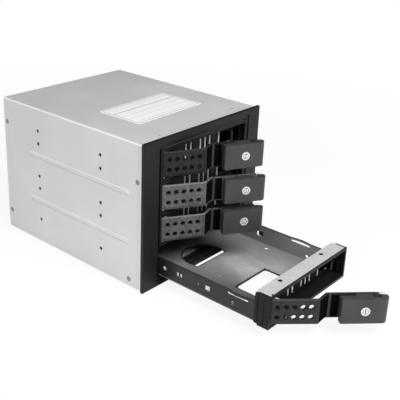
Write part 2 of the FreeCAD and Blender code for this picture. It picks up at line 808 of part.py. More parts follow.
def frame_form():
    """Return one tray's front frame, drawn from its front face and bay floor."""
    half = "frame_width / 2"
    block = box("frame_block", f"-{half}", "0", "0", "frame_width", "frame_deep", "frame_height")
    cavity = box("frame_cavity", f"-{half} + frame_side", "-1", "cavity_low", "frame_width - 2 * frame_side",
                 "1 + back_face", "cavity_high")
    wraps = [box(f"frame_wrap_{number}", f"-{half} - 1", "bracket_setback", z, "frame_width + 2",
                 "frame_deep", "bracket_thick + 1")
             for number, z in enumerate(("-1", "frame_height - bracket_thick"))]
    shell = without("frame_shell", block, [cavity] + wraps)
    cheeks = [box(f"frame_cheek_{side + 1}", "bracket_half" if side > 0 else f"-{half}", "0", "0",
                  "frame_side",
                  "web_back", "frame_height") for side in SIDES]
    catch_y = "back_face - catch_reach"
    catch_z = "frame_middle - catch_high / 2"
    catch = merge("catch", [
        box("catch_post", "post_x", catch_y, catch_z, "catch_wide", "catch_reach + 0.5 * frame_back",
            "catch_high"),
        box("catch_lip", "catch_x", catch_y, catch_z, "hook_barb + 0.5 * catch_wide", "catch_lip_deep",
            "catch_high"),
    ])
    rib_wide = "0.6 * frame_side"
    side_rib = box("frame_side_rib", f"bracket_half - {rib_wide}", "0.45 * back_face", "cavity_low - 0.1",
                   f"{rib_wide} + 0.1", rib_wide, "cavity_high + 0.2")
    solid = merge("frame_solid", [shell, catch, side_rib] + cheeks)
    tools = slot_tools("frame_slot", "back_face - 0.1", "frame_back + 0.2", "slot_high")
    tools += [
        box("frame_pocket", "pocket_start", "back_face - 0.1", "frame_middle - slot_high / 2", "pocket_long",
            "frame_back + 0.2", "slot_high"),
        pipe_port("frame_pipe_port", "back_face - 0.1", "frame_back + 0.2"),
        rod("frame_pin_bore", "Z", "pivot_x", "pivot_y", "-1", "hinge_pin_radius + 0.4 * pin_play",
            "frame_height + 2"),
        box("hook_pocket", "hook_pocket_start", "back_face - 0.1", "frame_middle - catch_high / 2 - 1",
            "post_x - hook_pocket_start", "frame_back + 0.2", "catch_high + 2"),
    ]
    for side in SIDES:
        groove_x = f"{half} - groove_deep" if side > 0 else f"-{half} - 1"
        notch_x = "bracket_half" if side > 0 else f"-{half} - 1"
        for number, y in enumerate(("groove_front", "groove_rear")):
            tools.append(box(f"cheek_groove_{side + 1}_{number}", groove_x, y, "2 * cheek_notch_high",
                             "groove_deep + 1", "groove_wide", "frame_height - 4 * cheek_notch_high"))
        for number, z in enumerate(("-1", "frame_height - cheek_notch_high")):
            tools.append(box(f"cheek_notch_{side + 1}_{number}", notch_x, "web_back - cheek_notch_long", z,
                             "frame_side + 1", "cheek_notch_long + 1", "cheek_notch_high + 1"))
    return without("frame_form", solid, tools)


def bracket_form():
    """Return the silver bracket behind and over the frame: top, web and bottom in one fold."""
    thick = "bracket_thick"
    wide = "2 * bracket_half"
    long = "web_back - bracket_setback"
    web = box("bracket_web", "-bracket_half", "frame_deep", "0", wide, thick, "frame_height")
    top = box("bracket_top", "-bracket_half", "bracket_setback", f"frame_height - {thick}", wide, long, thick)
    foot = box("bracket_foot", "-bracket_half", "bracket_setback", "0", wide, long, thick)
    solid = merge("bracket_solid", [web, top, foot])
    tools = slot_tools("bracket_vent", "frame_deep - 0.1", f"{thick} + 0.2", "0.8 * slot_high")
    for side in SIDES:
        tools.append(rod(f"bracket_hole_{side + 1}", "Z", f"{side} * bracket_hole_spread / 2",
                         "bracket_hole_inset",
                         f"frame_height - {thick} - 0.5", "bracket_hole_radius", f"{thick} + 1"))
    for number, z in enumerate(("-1", f"frame_height - {thick} - 0.5")):
        tools.append(rod(f"bracket_pin_{number}", "Z", "pivot_x", "pivot_y", z, "hinge_pin_radius + pin_play",
                         f"{thick} + 2"))
    tools.append(pipe_port("bracket_pipe_port", "frame_deep - 0.1", f"{thick} + 0.2"))
    tools.append(box("bracket_pocket", "pocket_start", "frame_deep - 0.1", "frame_middle - slot_high / 2",
                     "pocket_long", f"{thick} + 0.2", "slot_high"))
    return without("bracket_form", solid, tools)


def light_pipe(name, column):
    """Return one light pipe: along the pan's left wall, round behind the lever and up to its grille hole."""
    low = f"pipe_low + {1 - column} * (pipe_high + pipe_space)"
    nose_x = f"pivot_x - panel_thick + ({column} + 1) * vent_pitch"
    nose_z = "frame_middle + vent_row_gap / 2"
    left, inside = "port_start + pipe_play", "port_start + pipe_play + pipe_wide"
    front, bend = "back_face - 2 * pipe_wide", "back_face - pipe_wide"
    right = f"{nose_x} + pipe_wide / 2"
    body = doc.addObject("PartDesign::Body", f"{name}_plan")
    plan = outline(sketch_on(body, f"{name}_outline", "XY_Plane", low), [
        (left, front), (right, front), (right, bend), (inside, bend), (inside, "pipe_end"),
        (left, "pipe_end"),
    ])
    bar = pad(body, f"{name}_pad", plan, "pipe_high")
    middle = value(f"{low} + pipe_high / 2")
    turned = rounded(body, f"{name}_bend", bar, [Vector(value(left), value(front), middle)], "pipe_wide")
    rounded(body, f"{name}_inner_bend", turned, [Vector(value(inside), value(bend), middle)],
            "0.5 * pipe_wide")
    return merge(name, [
        body,
        box(f"{name}_riser", f"{nose_x} - pipe_wide / 2", front, low, "pipe_wide", "pipe_wide",
            f"{nose_z} + pipe_wide / 2 - ({low})"),
        rod(f"{name}_nose", "Y", nose_x, "pivot_y + pipe_gap", nose_z, "pipe_radius",
            f"{front} + 0.5 * pipe_wide - (pivot_y + pipe_gap)"),
    ])


def pipe_form():
    """Return the two light pipes that end behind the grille's first two holes."""
    return group("pipe_form", [light_pipe(f"light_pipe_{column}", column) for column in range(2)])


# Lever: perforated arm with a recessed neck, a latch block and its lock

def arm_form():
    """Return the lever arm, drawn from its hinge with the lever closed."""
    body = doc.addObject("PartDesign::Body", "arm_plan")
    plan = outline(sketch_on(body, "arm_outline", "XY_Plane", "lever_low"), [
        ("0", "arm_front"), ("panel_end", "arm_front"), ("ramp_end", "plate_front"),
        ("plate_end", "plate_front"),
        ("plate_end", "arm_rear"), ("ramp_end - ramp_shift", "arm_rear"),
        ("panel_end - 0.5 * ramp_shift", "0"), ("0", "0"),
    ])
    strip = pad(body, "arm_pad", plan, "lever_high")
    middle = value("frame_middle")
    smooth = rounded(body, "ramp_outer", strip, [
        Vector(value("panel_end"), value("arm_front"), middle),
        Vector(value("ramp_end - ramp_shift"), value("arm_rear"), middle),
    ], "1.6 * plate_thick")
    smooth = rounded(body, "ramp_inner", smooth, [
        Vector(value("ramp_end"), value("plate_front"), middle),
        Vector(value("panel_end - 0.5 * ramp_shift"), 0, middle),
    ], "0.8 * plate_thick")
    ends = [Vector(value("plate_end"), value("arm_rear - plate_thick / 2"),
                   value(f"lever_low + {high} * lever_high"))
            for high in (0, 1)]
    rounded(body, "plate_corners", smooth, ends, "plate_corner")
    barrel = rod("arm_barrel", "Z", "0", "0", "lever_low", "panel_thick", "lever_high")
    ears = []
    for number, z in enumerate(("lever_low", "lever_low + lever_high - ear_high")):
        ears.append(rod(f"arm_ear_{number}", "Z", "latch_x", "latch_y", z, "ear_radius", "ear_high"))
        ears.append(box(f"arm_ear_web_{number}", "latch_x - ear_radius", "latch_y", z, "2 * ear_radius",
                        "plate_front - latch_y + 0.5 * plate_thick", "ear_high"))
    solid = merge("arm_solid", [body, barrel] + ears)
    tools = [rod("arm_bore", "Z", "0", "0", "lever_low - 1", "hinge_pin_radius + pin_play", "lever_high + 2"),
             rod("arm_latch_bore", "Z", "latch_x", "latch_y", "lever_low - 1",
                 "latch_pin_radius + 0.4 * pin_play", "lever_high + 2"),
             box("neck_window", "ramp_end + 0.5 * neck_long - 0.1 * neck_window_wide", "plate_front - 1",
                 "lever_low + neck_window_margin", "neck_window_wide", "1 + neck_window_deep",
                 "lever_high - 2 * neck_window_margin")]
    for column in VENT_COLUMNS:
        for row in SIDES:
            tools.append(rod(f"arm_vent_{column}_{row + 1}", "Y",
                             f"({column} + 1) * vent_pitch - panel_thick",
                             "arm_front - 1", f"frame_middle + {row} * vent_row_gap / 2", "vent_radius",
                             "panel_thick + 2"))
    band = doc.addObject("Part::Wedge", "arm_band")
    bind(band, Xmin="0", Xmax="band_high", X2min="0", X2max="0", Ymin="0", Ymax="band_deep", Zmin="0",
         Zmax="panel_long", Z2min="0", Z2max="panel_long")
    band.Placement = Placement(Vector(), Rotation(Vector(0, 1, 0), -90))
    at(band, "panel_end", "arm_front", "lever_low")
    tools.append(band)
    return without("arm_form", solid, tools)


def block_form():
    """Return the latch block with its hook, ear recesses and lock pocket."""
    body = doc.addObject("PartDesign::Body", "block_plan")
    grip_end = "block_start + block_grip_long"
    thin_rear = "arm_front + block_thin"
    plan = outline(sketch_on(body, "block_outline", "XY_Plane", "lever_low"), [
        ("block_start", "arm_front"), ("block_end", "arm_front"), ("block_end", "block_rear - block_ease"),
        ("latch_x + block_ease", "block_rear"), (grip_end, "block_rear"), (grip_end, thin_rear),
        ("block_start", thin_rear),
    ])
    strip = pad(body, "block_pad", plan, "lever_high")
    middle = value("frame_middle")
    smooth = rounded(body, "block_corner", strip, [Vector(value("block_end"), value("arm_front"), middle)],
                     "block_round")
    rounded(body, "block_left_edge", smooth, [Vector(value("block_start"), value("arm_front"), middle)],
            "block_edge")
    hook_x = "block_end - hook_thick"
    hook_low = "frame_middle - 0.3 * catch_high"
    hook_high = "0.6 * catch_high"
    hook = [box("hook_stem", hook_x, "block_rear - hook_root", hook_low, "hook_thick",
                "hook_tip - block_rear + hook_root", hook_high),
            box("hook_barb_block", "block_end - 0.5 * hook_thick", "hook_tip - hook_barb_long", hook_low,
                "0.5 * hook_thick + hook_barb", "hook_barb_long", hook_high)]
    solid = merge("block_solid", [body] + hook)
    reach = "ear_radius + ear_play"
    cuts = [rod("block_pin_bore", "Z", "latch_x", "latch_y", "lever_low - 1", "latch_pin_radius + pin_play",
                "lever_high + 2")]
    for number, z in enumerate(("lever_low - 1", "lever_low + lever_high - ear_high - seat_gap")):
        cuts.append(box(f"ear_recess_{number}", f"latch_x - ({reach})", f"latch_y - ({reach})", z,
                        f"2 * ({reach})", f"block_rear - latch_y + {reach} + 1", "ear_high + seat_gap + 1"))
    cuts += [
        rod("lock_bore", "Y", "lock_x", "arm_front - 1", "frame_middle", "lock_barrel + pin_play",
            "lever_deep"),
        rod("lock_seat", "Y", "lock_x", "arm_front - 1", "frame_middle", "lock_radius + pin_play",
            "1 + lock_rim"),
        rod("cam_pocket", "Y", "lock_x", "block_rear - cam_thick - 3 * seat_gap", "frame_middle",
            "lock_pocket",
            "lever_deep"),
    ]
    return without("block_form", solid, [merge("block_cuts", cuts)])


def lock_form():
    """Return the lock cylinder: a rimmed barrel with a keyway and a cam behind."""
    cam_y = "block_rear - cam_thick - seat_gap"
    barrel = merge("lock_solid", [
        rod("lock_rim_disc", "Y", "lock_x", "arm_front - 0.5 * lock_rim", "frame_middle", "lock_radius",
            "1.5 * lock_rim"),
        rod("lock_barrel_rod", "Y", "lock_x", "arm_front", "frame_middle", "lock_barrel",
            f"{cam_y} + cam_thick - arm_front"),
        box("lock_cam", "lock_x - cam_wide / 2", cam_y, "frame_middle - cam_long", "cam_wide", "cam_thick",
            "cam_long"),
    ])
    keyway = box("keyway", "lock_x - key_wide / 2", "arm_front - 1", "frame_middle - key_long / 2",
                 "key_wide",
                 "key_deep", "key_long")
    return without("lock_form", barrel, [keyway])


FORMS = {
    "tray_pan": (in_tray, pan_form()),
    "tray_frame": (in_tray, frame_form()),
    "tray_bracket": (in_tray, bracket_form()),
    "light_pipes": (in_tray, pipe_form()),
    "hinge_pin": (in_lever, rod("hinge_pin_form", "Z", "0", "0", "0", "hinge_pin_radius", "frame_height")),
    "lever_arm": (in_lever, arm_form()),
    "latch_pin": (in_lever, rod("latch_pin_form", "Z", "latch_x", "latch_y", "lever_low", "latch_pin_radius",
                                "lever_high")),
    "latch_block": (in_lever, block_form()),
    "lock_cylinder": (in_lever, lock_form()),
}
for bay in BAYS:
    for name, (place, form) in FORMS.items():
        node(f"{name}_{bay}", place(group(f"{name}_in_bay_{bay}", [form]), bay))


# Rear: backplane board with its sockets, rear panel and fan

def bay_height(level, above):
    """Return the formula of a height above one bay's floor."""
    return f"bay_floor + {level} * bay_pitch + {above}"


board = box("board_blank", "-board_width / 2", "board_front", "board_low", "board_width", "board_thick",
            "board_height")
air_slots = [box(f"air_slot_{level}_{side + 1}", f"{side} * air_slot_offset - air_slot_long / 2",
                 "board_front - 1", bay_height(level, "air_slot_lift"), "air_slot_long", "board_thick + 2",
                 "air_slot_high") for level in LEVELS for side in SIDES]
node("backplane_board", without("board_cut", board, air_slots))

sockets = []
for level in LEVELS:
    z = bay_height(level, "floor_top + socket_lift")
    shell = box(f"socket_shell_{level}", "socket_offset - socket_long / 2", "board_front - socket_deep", z,
                "socket_long", "socket_deep", "socket_high")
    mouth = box(f"socket_mouth_{level}", "socket_offset - socket_long / 2 + socket_wall",
                "board_front - socket_deep - 1", f"{z} + 0.3 * socket_high", "socket_long - 2 * socket_wall",
                "socket_deep - 0.6", "0.4 * socket_high")
    sockets.append(without(f"socket_{level}", shell, [mouth]))
node("drive_sockets", group("socket_set", sockets))


def port_low(level):
    """Return the formula of a data port's underside."""
    return bay_height(level, "frame_middle - port_high / 2")


ports = []
for level in LEVELS:
    shell = box(f"port_shell_{level}", "port_offset - port_wide / 2", "board_rear", port_low(level),
                "port_wide",
                "rear_edge + port_proud - board_rear", "port_high")
    low = f"{port_low(level)} + port_wall"
    mouth = merge(f"port_mouth_{level}", [
        box(f"port_slot_{level}", "port_offset - 0.1 * port_wide", "board_rear + port_base", low,
            "0.25 * port_wide", "body_depth", "port_high - 2 * port_wall"),
        box(f"port_key_{level}", "port_offset - 0.3 * port_wide", "board_rear + port_base", low,
            "0.35 * port_wide", "body_depth", "0.16 * port_high"),
    ])
    ports.append(without(f"port_{level}", shell, [mouth]))
node("data_ports", group("port_set", ports))

inlets = []
for level in INLET_LEVELS:
    low = bay_height(level, "frame_middle - inlet_high / 2")
    name = f"inlet_{level}"
    shell = without(f"{name}_shell", box(f"{name}_block", "inlet_offset - inlet_wide / 2", "board_rear", low,
                                         "inlet_wide", "rear_edge + port_proud - board_rear", "inlet_high"), [
        box(f"{name}_mouth", "inlet_offset - inlet_wide / 2 + inlet_wall", "board_rear + 2 * inlet_wall",
            f"{low} + inlet_wall", "inlet_wide - 2 * inlet_wall", "body_depth",
            "inlet_high - 2 * inlet_wall"),
    ])
    pins = [rod(f"{name}_pin_{pin}", "Y", "inlet_offset", "board_rear + inlet_wall",
                f"{low} + ({pin} + 0.5) * inlet_high / 4", "inlet_pin_radius",
                "rear_edge - board_rear - inlet_wall") for pin in range(4)]
    inlets.append(merge(name, [shell] + pins))
node("power_inlets", group("inlet_set", inlets))

standoffs = [rod(f"standoff_{side + 1}_{high}", "Y", f"{side} * (board_width / 2 - standoff_inset)",
                 "board_rear",
                 f"board_low + standoff_inset + {high} * (board_height - 2 * standoff_inset)",
                 "standoff_radius",
                 "panel_front - board_rear")
             for side in SIDES for high in (0, 1)]
node("board_standoffs", group("standoff_set", standoffs))


def fan_corners():
    """Return the (x, z) formulas of the fan's four screw holes."""
    return [(f"fan_offset + {across} * fan_hole_spacing / 2", f"fan_middle + {up} * fan_hole_spacing / 2")
            for across in SIDES for up in SIDES]


def rear_panel():
    """Return the rear panel with its flanges, fan hole and connector cut-outs."""
    wide = "2 * inner_half"
    sheet_part = box("rear_sheet", "-inner_half", "panel_front", "sheet_thick", wide, "sheet_thick",
                     "body_height - 2 * sheet_thick")
    flange_low = "2 * sheet_thick + flange_wide"
    flanges = [box(f"rear_flange_{side + 1}", "inner_half - sheet_thick" if side > 0 else "-inner_half",
                   "rear_edge - flange_wide", flange_low, "sheet_thick", "flange_wide",
                   f"body_height - sheet_thick - bend_radius - ({flange_low})") for side in SIDES]
    tools = [rod("fan_hole", "Y", "fan_offset", "panel_front - 1", "fan_middle", "fan_bore_radius",
                 "sheet_thick + 2")]
    for number, (x, z) in enumerate(fan_corners()):
        tools.append(rod(f"fan_fixing_{number}", "Y", x, "panel_front - 1", z, "fan_fixing_radius",
                         "sheet_thick + 2"))
    for level in LEVELS:
        tools.append(box(f"port_window_{level}", "port_offset - port_wide / 2 - cutout_play",
                         "panel_front - 1",
                         f"{port_low(level)} - cutout_play", "port_wide + 2 * cutout_play", "sheet_thick + 2",
                         "port_high + 2 * cutout_play"))
    for level in INLET_LEVELS:
        tools.append(box(f"inlet_window_{level}", "inlet_offset - inlet_wide / 2 - cutout_play",
                         "panel_front - 1",
                         bay_height(level, "frame_middle - inlet_high / 2 - cutout_play"),
                         "inlet_wide + 2 * cutout_play", "sheet_thick + 2", "inlet_high + 2 * cutout_play"))
    for side in SIDES:
        x = "inner_half - bend_radius" if side > 0 else "-inner_half - 1"
        tools.append(box(f"rear_relief_{side + 1}", x, "panel_front - 1",
                         "body_height - sheet_thick - bend_radius",
                         "bend_radius + 1", "sheet_thick + 2", "bend_radius + 1"))
    for number, (y, z) in enumerate(body_screw_places()[2:]):
        tools.append(rod(f"rear_screw_hole_{number}", "X", "-half_width - 1", y, z,
                         "body_screw_shank + pin_play",
                         "body_width + 2"))
    return without("rear_panel_cut", merge("rear_panel_solid", [sheet_part] + flanges), tools)


node("rear_panel", rear_panel())


def fan_frame():
    """Return the fan's square frame with its duct, struts and motor seat."""
    low = "fan_middle - fan_size / 2"
    left = "fan_offset - fan_size / 2"
    flanges = [box(f"fan_flange_{number}", left, y, low, "fan_size", "fan_flange", "fan_size")
               for number, y in enumerate(("rear_edge", "fan_rear - fan_flange"))]
    duct = rod("fan_duct", "Y", "fan_offset", "rear_edge", "fan_middle", "fan_size / 2", "fan_deep")
    square = within("fan_square", merge("fan_block", flanges + [duct]),
                    rod("fan_corner_round", "Y", "fan_offset", "rear_edge", "fan_middle", "fan_corner",
                        "fan_deep"))
    holes = [rod("fan_bore", "Y", "fan_offset", "rear_edge - 1", "fan_middle", "fan_bore_radius",
                 "fan_deep + 2")]
    for number, (x, z) in enumerate(fan_corners()):
        holes.append(rod(f"fan_screw_hole_{number}", "Y", x, "rear_edge - 1", z, "fan_fixing_radius",
                         "fan_deep + 2"))
    ring = without("fan_ring", square, holes)
    seat = rod("motor_seat", "Y", "fan_offset", "motor_seat", "fan_middle", "hub_radius", "motor_seat_deep")
    shaft = rod("fan_shaft", "Y", "fan_offset", "motor_seat - shaft_long", "fan_middle", "shaft_radius",
                "shaft_long + 1")
    struts = []
    reach = "0.52 * fan_bore_radius"
    for side in SIDES:
        middle = f"{side} * fan_bore_radius / 2"
        struts.append(box(f"fan_strut_x_{side + 1}", f"fan_offset + {middle} - {reach}", "motor_seat",
                          "fan_middle - strut_wide / 2", f"2 * {reach}", "strut_deep", "strut_wide"))
        struts.append(box(f"fan_strut_z_{side + 1}", "fan_offset - strut_wide / 2", "motor_seat",
                          f"fan_middle + {middle} - {reach}", "strut_wide", "strut_deep", f"2 * {reach}"))
    return merge("fan_frame_solid", [ring, seat, shaft] + struts)


node("fan_frame", fan_frame())


def fan_rotor():
    """Return the rotor: a cup hub with swept blades that twist from root to tip."""
    body = doc.addObject("PartDesign::Body", "rotor_body")
    at(body, "fan_offset", "rotor_middle", "fan_middle")
    hub = body.newObject("PartDesign::AdditiveCylinder", "rotor_hub")
    hub.AttachmentSupport = [(next(f for f in body.Origin.OriginFeatures if f.Role == "XZ_Plane"), "")]
    hub.MapMode = "FlatFace"
    bind(hub, Radius="hub_radius", Height="hub_deep", AttachmentOffset__Base__z="-hub_deep / 2")
    body.Tip = hub
    doc.recompute()
    sections = []
    for end, radius in (("root", "hub_radius - 1"), ("tip", "fan_bore_radius + 1")):
        reach, sweep = f"blade_{end}_reach", f"blade_{end}_sweep"
        sections.append(outline(sketch_on(body, f"blade_{end}", "YZ_Plane", radius), [
            (f"-{reach}", f"-{sweep} - blade_thick / 2"), (reach, f"{sweep} - blade_thick / 2"),
            (reach, f"{sweep} + blade_thick / 2"), (f"-{reach}", f"-{sweep} + blade_thick / 2"),
        ]))
    doc.recompute()
    blade = body.newObject("PartDesign::AdditiveLoft", "blade")
    blade.Profile = sections[0]
    blade.Sections = [sections[1]]
    body.Tip = blade
    doc.recompute()
    ring = body.newObject("PartDesign::PolarPattern", "blades")
    ring.Originals = [blade]
    ring.Axis = (next(f for f in body.Origin.OriginFeatures if f.Role == "Y_Axis"), [""])
    ring.Angle = 360
    ring.Occurrences = FAN_BLADES
    body.Tip = ring
    doc.recompute()
    return body


rotor_limit = rod("rotor_limit", "Y", "fan_offset", "rear_edge", "fan_middle", "blade_tip", "fan_deep")
rotor_bore = rod("rotor_bore", "Y", "fan_offset", "motor_seat - shaft_long - seat_gap", "fan_middle",
                 "shaft_radius + pin_play", "fan_deep")
node("fan_rotor", without("rotor_cut", within("rotor_trimmed", fan_rotor(), rotor_limit), [rotor_bore]))


def fan_guard():
    """Return the pressed finger guard: flat rings on two crossed arms."""
    rings = []
    for number in range(GUARD_RINGS):
        radius = f"fan_bore_radius * (1 - 0.24 * {number})"
        name = f"guard_ring_{number}"
        rings.append(without(name, rod(f"{name}_outer", "Y", "fan_offset", "fan_rear", "fan_middle", radius,
                                       "guard_thick"), [
            rod(f"{name}_inner", "Y", "fan_offset", "fan_rear - 1", "fan_middle", f"{radius} - guard_wire",
                "guard_thick + 2"),
        ]))
    arms = []
    long = "2 ^ 0.5 * fan_hole_spacing"
    for number in range(2):
        bar = box(f"guard_bar_{number}", f"-({long}) / 2", "0", "-guard_arm_wide / 2", long, "guard_thick",
                  "guard_arm_wide")
        arm = group(f"guard_arm_{number}", [bar])
        arm.Placement = Placement(Vector(), Rotation(Vector(0, 1, 0), 45 + 90 * number))
        arms.append(at(arm, "fan_offset", "fan_rear", "fan_middle"))
    eyes = [rod(f"guard_eye_{number}", "Y", x, "fan_rear", z, "guard_eye_radius", "guard_thick")
            for number, (x, z) in enumerate(fan_corners())]
    holes = [rod(f"guard_hole_{number}", "Y", x, "fan_rear - 1", z, "fan_fixing_radius", "guard_thick + 2")
             for number, (x, z) in enumerate(fan_corners())]
    return without("guard_cut", merge("guard_solid", rings + arms + eyes), holes)


node("fan_guard", fan_guard())

fan_screws = []
for number, (x, z) in enumerate(fan_corners()):
    fan_screws.append(merge(f"fan_screw_{number}", [
        rod(f"fan_screw_head_{number}", "Y", x, "guard_rear", z, "fan_head_radius", "fan_head_high"),
        rod(f"fan_screw_shank_{number}", "Y", x, "panel_front", z, "fan_screw_radius",
            "fan_deep + guard_thick + sheet_thick + 1"),
    ]))
node("fan_screws", group("fan_screw_set", fan_screws))


# Checks and files

doc.recompute()
faults = [thing.Name for thing in doc.Objects if {"Invalid", "Error"} & set(thing.State)]
if faults:
    raise RuntimeError(f"these objects failed: {faults}")
for solid in NODES:
    shape = solid.Shape
    if shape.isNull() or not shape.isValid() or not shape.Solids:
        raise RuntimeError(f"{solid.Label} has no valid solid")
for solid in NODES:
    shape, limits = solid.Shape, solid.Shape.BoundBox
    shape.exportStep(f"parts/{solid.Label}.step")
    print(f"{solid.Label:20s} {len(shape.Solids)} solids, volume {shape.Volume:9.1f}, "
          f"{limits.XMin:.1f}..{limits.XMax:.1f}, {limits.YMin:.1f}..{limits.YMax:.1f}, "
          f"{limits.ZMin:.1f}..{limits.ZMax:.1f}")
print(len(NODES), "nodes")
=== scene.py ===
"""Looks of a hot swap drive cage: its finishes, fine pieces, studio and camera, in metres."""

import json
import logging
import math
from dataclasses import dataclass
from enum import Enum
from functools import reduce

import bmesh
import bpy
from bmesh.types import BMesh, BMFace
from bpy.types import Material, Node, NodeSocket, Object, World
from mathutils import Matrix, Quaternion, Vector


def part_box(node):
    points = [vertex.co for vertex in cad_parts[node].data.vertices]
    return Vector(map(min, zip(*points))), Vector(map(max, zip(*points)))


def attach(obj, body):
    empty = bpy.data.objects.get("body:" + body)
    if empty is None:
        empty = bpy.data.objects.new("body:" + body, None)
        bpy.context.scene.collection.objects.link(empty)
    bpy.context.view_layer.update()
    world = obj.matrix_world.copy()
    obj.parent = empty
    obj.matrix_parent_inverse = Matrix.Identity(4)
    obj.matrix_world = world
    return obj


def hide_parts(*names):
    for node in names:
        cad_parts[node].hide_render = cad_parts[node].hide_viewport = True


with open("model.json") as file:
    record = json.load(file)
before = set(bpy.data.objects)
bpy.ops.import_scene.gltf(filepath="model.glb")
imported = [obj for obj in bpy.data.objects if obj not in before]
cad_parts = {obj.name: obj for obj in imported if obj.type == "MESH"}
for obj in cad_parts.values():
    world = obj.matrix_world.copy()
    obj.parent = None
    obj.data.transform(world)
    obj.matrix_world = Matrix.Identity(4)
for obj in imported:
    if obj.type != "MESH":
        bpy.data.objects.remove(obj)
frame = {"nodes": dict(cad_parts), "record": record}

logging.basicConfig(level=logging.INFO, format="%(message)s")
log = logging.getLogger("drive_cage")

Pair = tuple[float, float]
Triple = tuple[float, float, float]
Colour = tuple[float, float, float, float]
Term = "Wire | float"
Finishes = dict[str, Material]

MM = 0.001
WELD = 0.002 * MM
FLAT_TURN = math.radians(0.6)
SHARP_TURN = math.radians(30)
WHITE: Colour = (1, 1, 1, 1)
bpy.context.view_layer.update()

# Each bay's number, the display level of its lever and the depth of its bracket's front lip of painted shade.
# The levers are one plastic; their levels differ as painted light and shade, lever 1 darkest in the bezel's
# shade and levers 2 and 3 lightest where more light falls, and the lips of trays 1 to 3 are deeper, in the
# bezel's shade.
BAYS = ((1, 34, 2.8 * MM), (2, 82, 2.8 * MM), (3, 78, 2.8 * MM), (4, 42, 1.4 * MM))


class Axis(Enum):
    """The axis that screws lie along, by its place in a vector."""

    X = 0
    Y = 1


class Flank(Enum):
    """A pressed rib's lower or upper side."""

    LOWER = -1.0
    UPPER = 1.0


# Shader maths


@dataclass(frozen=True)
class Wire:
    """An output socket that takes part in shader maths through the usual operators."""

    shader: "Shader"
    socket: NodeSocket

    def __add__(self, other: Term) -> "Wire":
        """Return the sum."""
        return self.shader.math("ADD", self, other)

    def __radd__(self, other: float) -> "Wire":
        """Return the sum with a number on the left."""
        return self.shader.math("ADD", other, self)

    def __sub__(self, other: Term) -> "Wire":
        """Return the difference."""
        return self.shader.math("SUBTRACT", self, other)

    def __rsub__(self, other: float) -> "Wire":
        """Return a number less this."""
        return self.shader.math("SUBTRACT", other, self)

    def __mul__(self, other: Term) -> "Wire":
        """Return the product."""
        return self.shader.math("MULTIPLY", self, other)

    def __rmul__(self, other: float) -> "Wire":
        """Return the product with a number on the left."""
        return self.shader.math("MULTIPLY", other, self)

    def __truediv__(self, other: Term) -> "Wire":
        """Return the quotient."""
        return self.shader.math("DIVIDE", self, other)

    def __gt__(self, other: Term) -> "Wire":
        """Return 1 where this is larger, else 0."""
        return self.shader.math("GREATER_THAN", self, other)

    def __lt__(self, other: Term) -> "Wire":
        """Return 1 where this is smaller, else 0."""
        return self.shader.math("LESS_THAN", self, other)


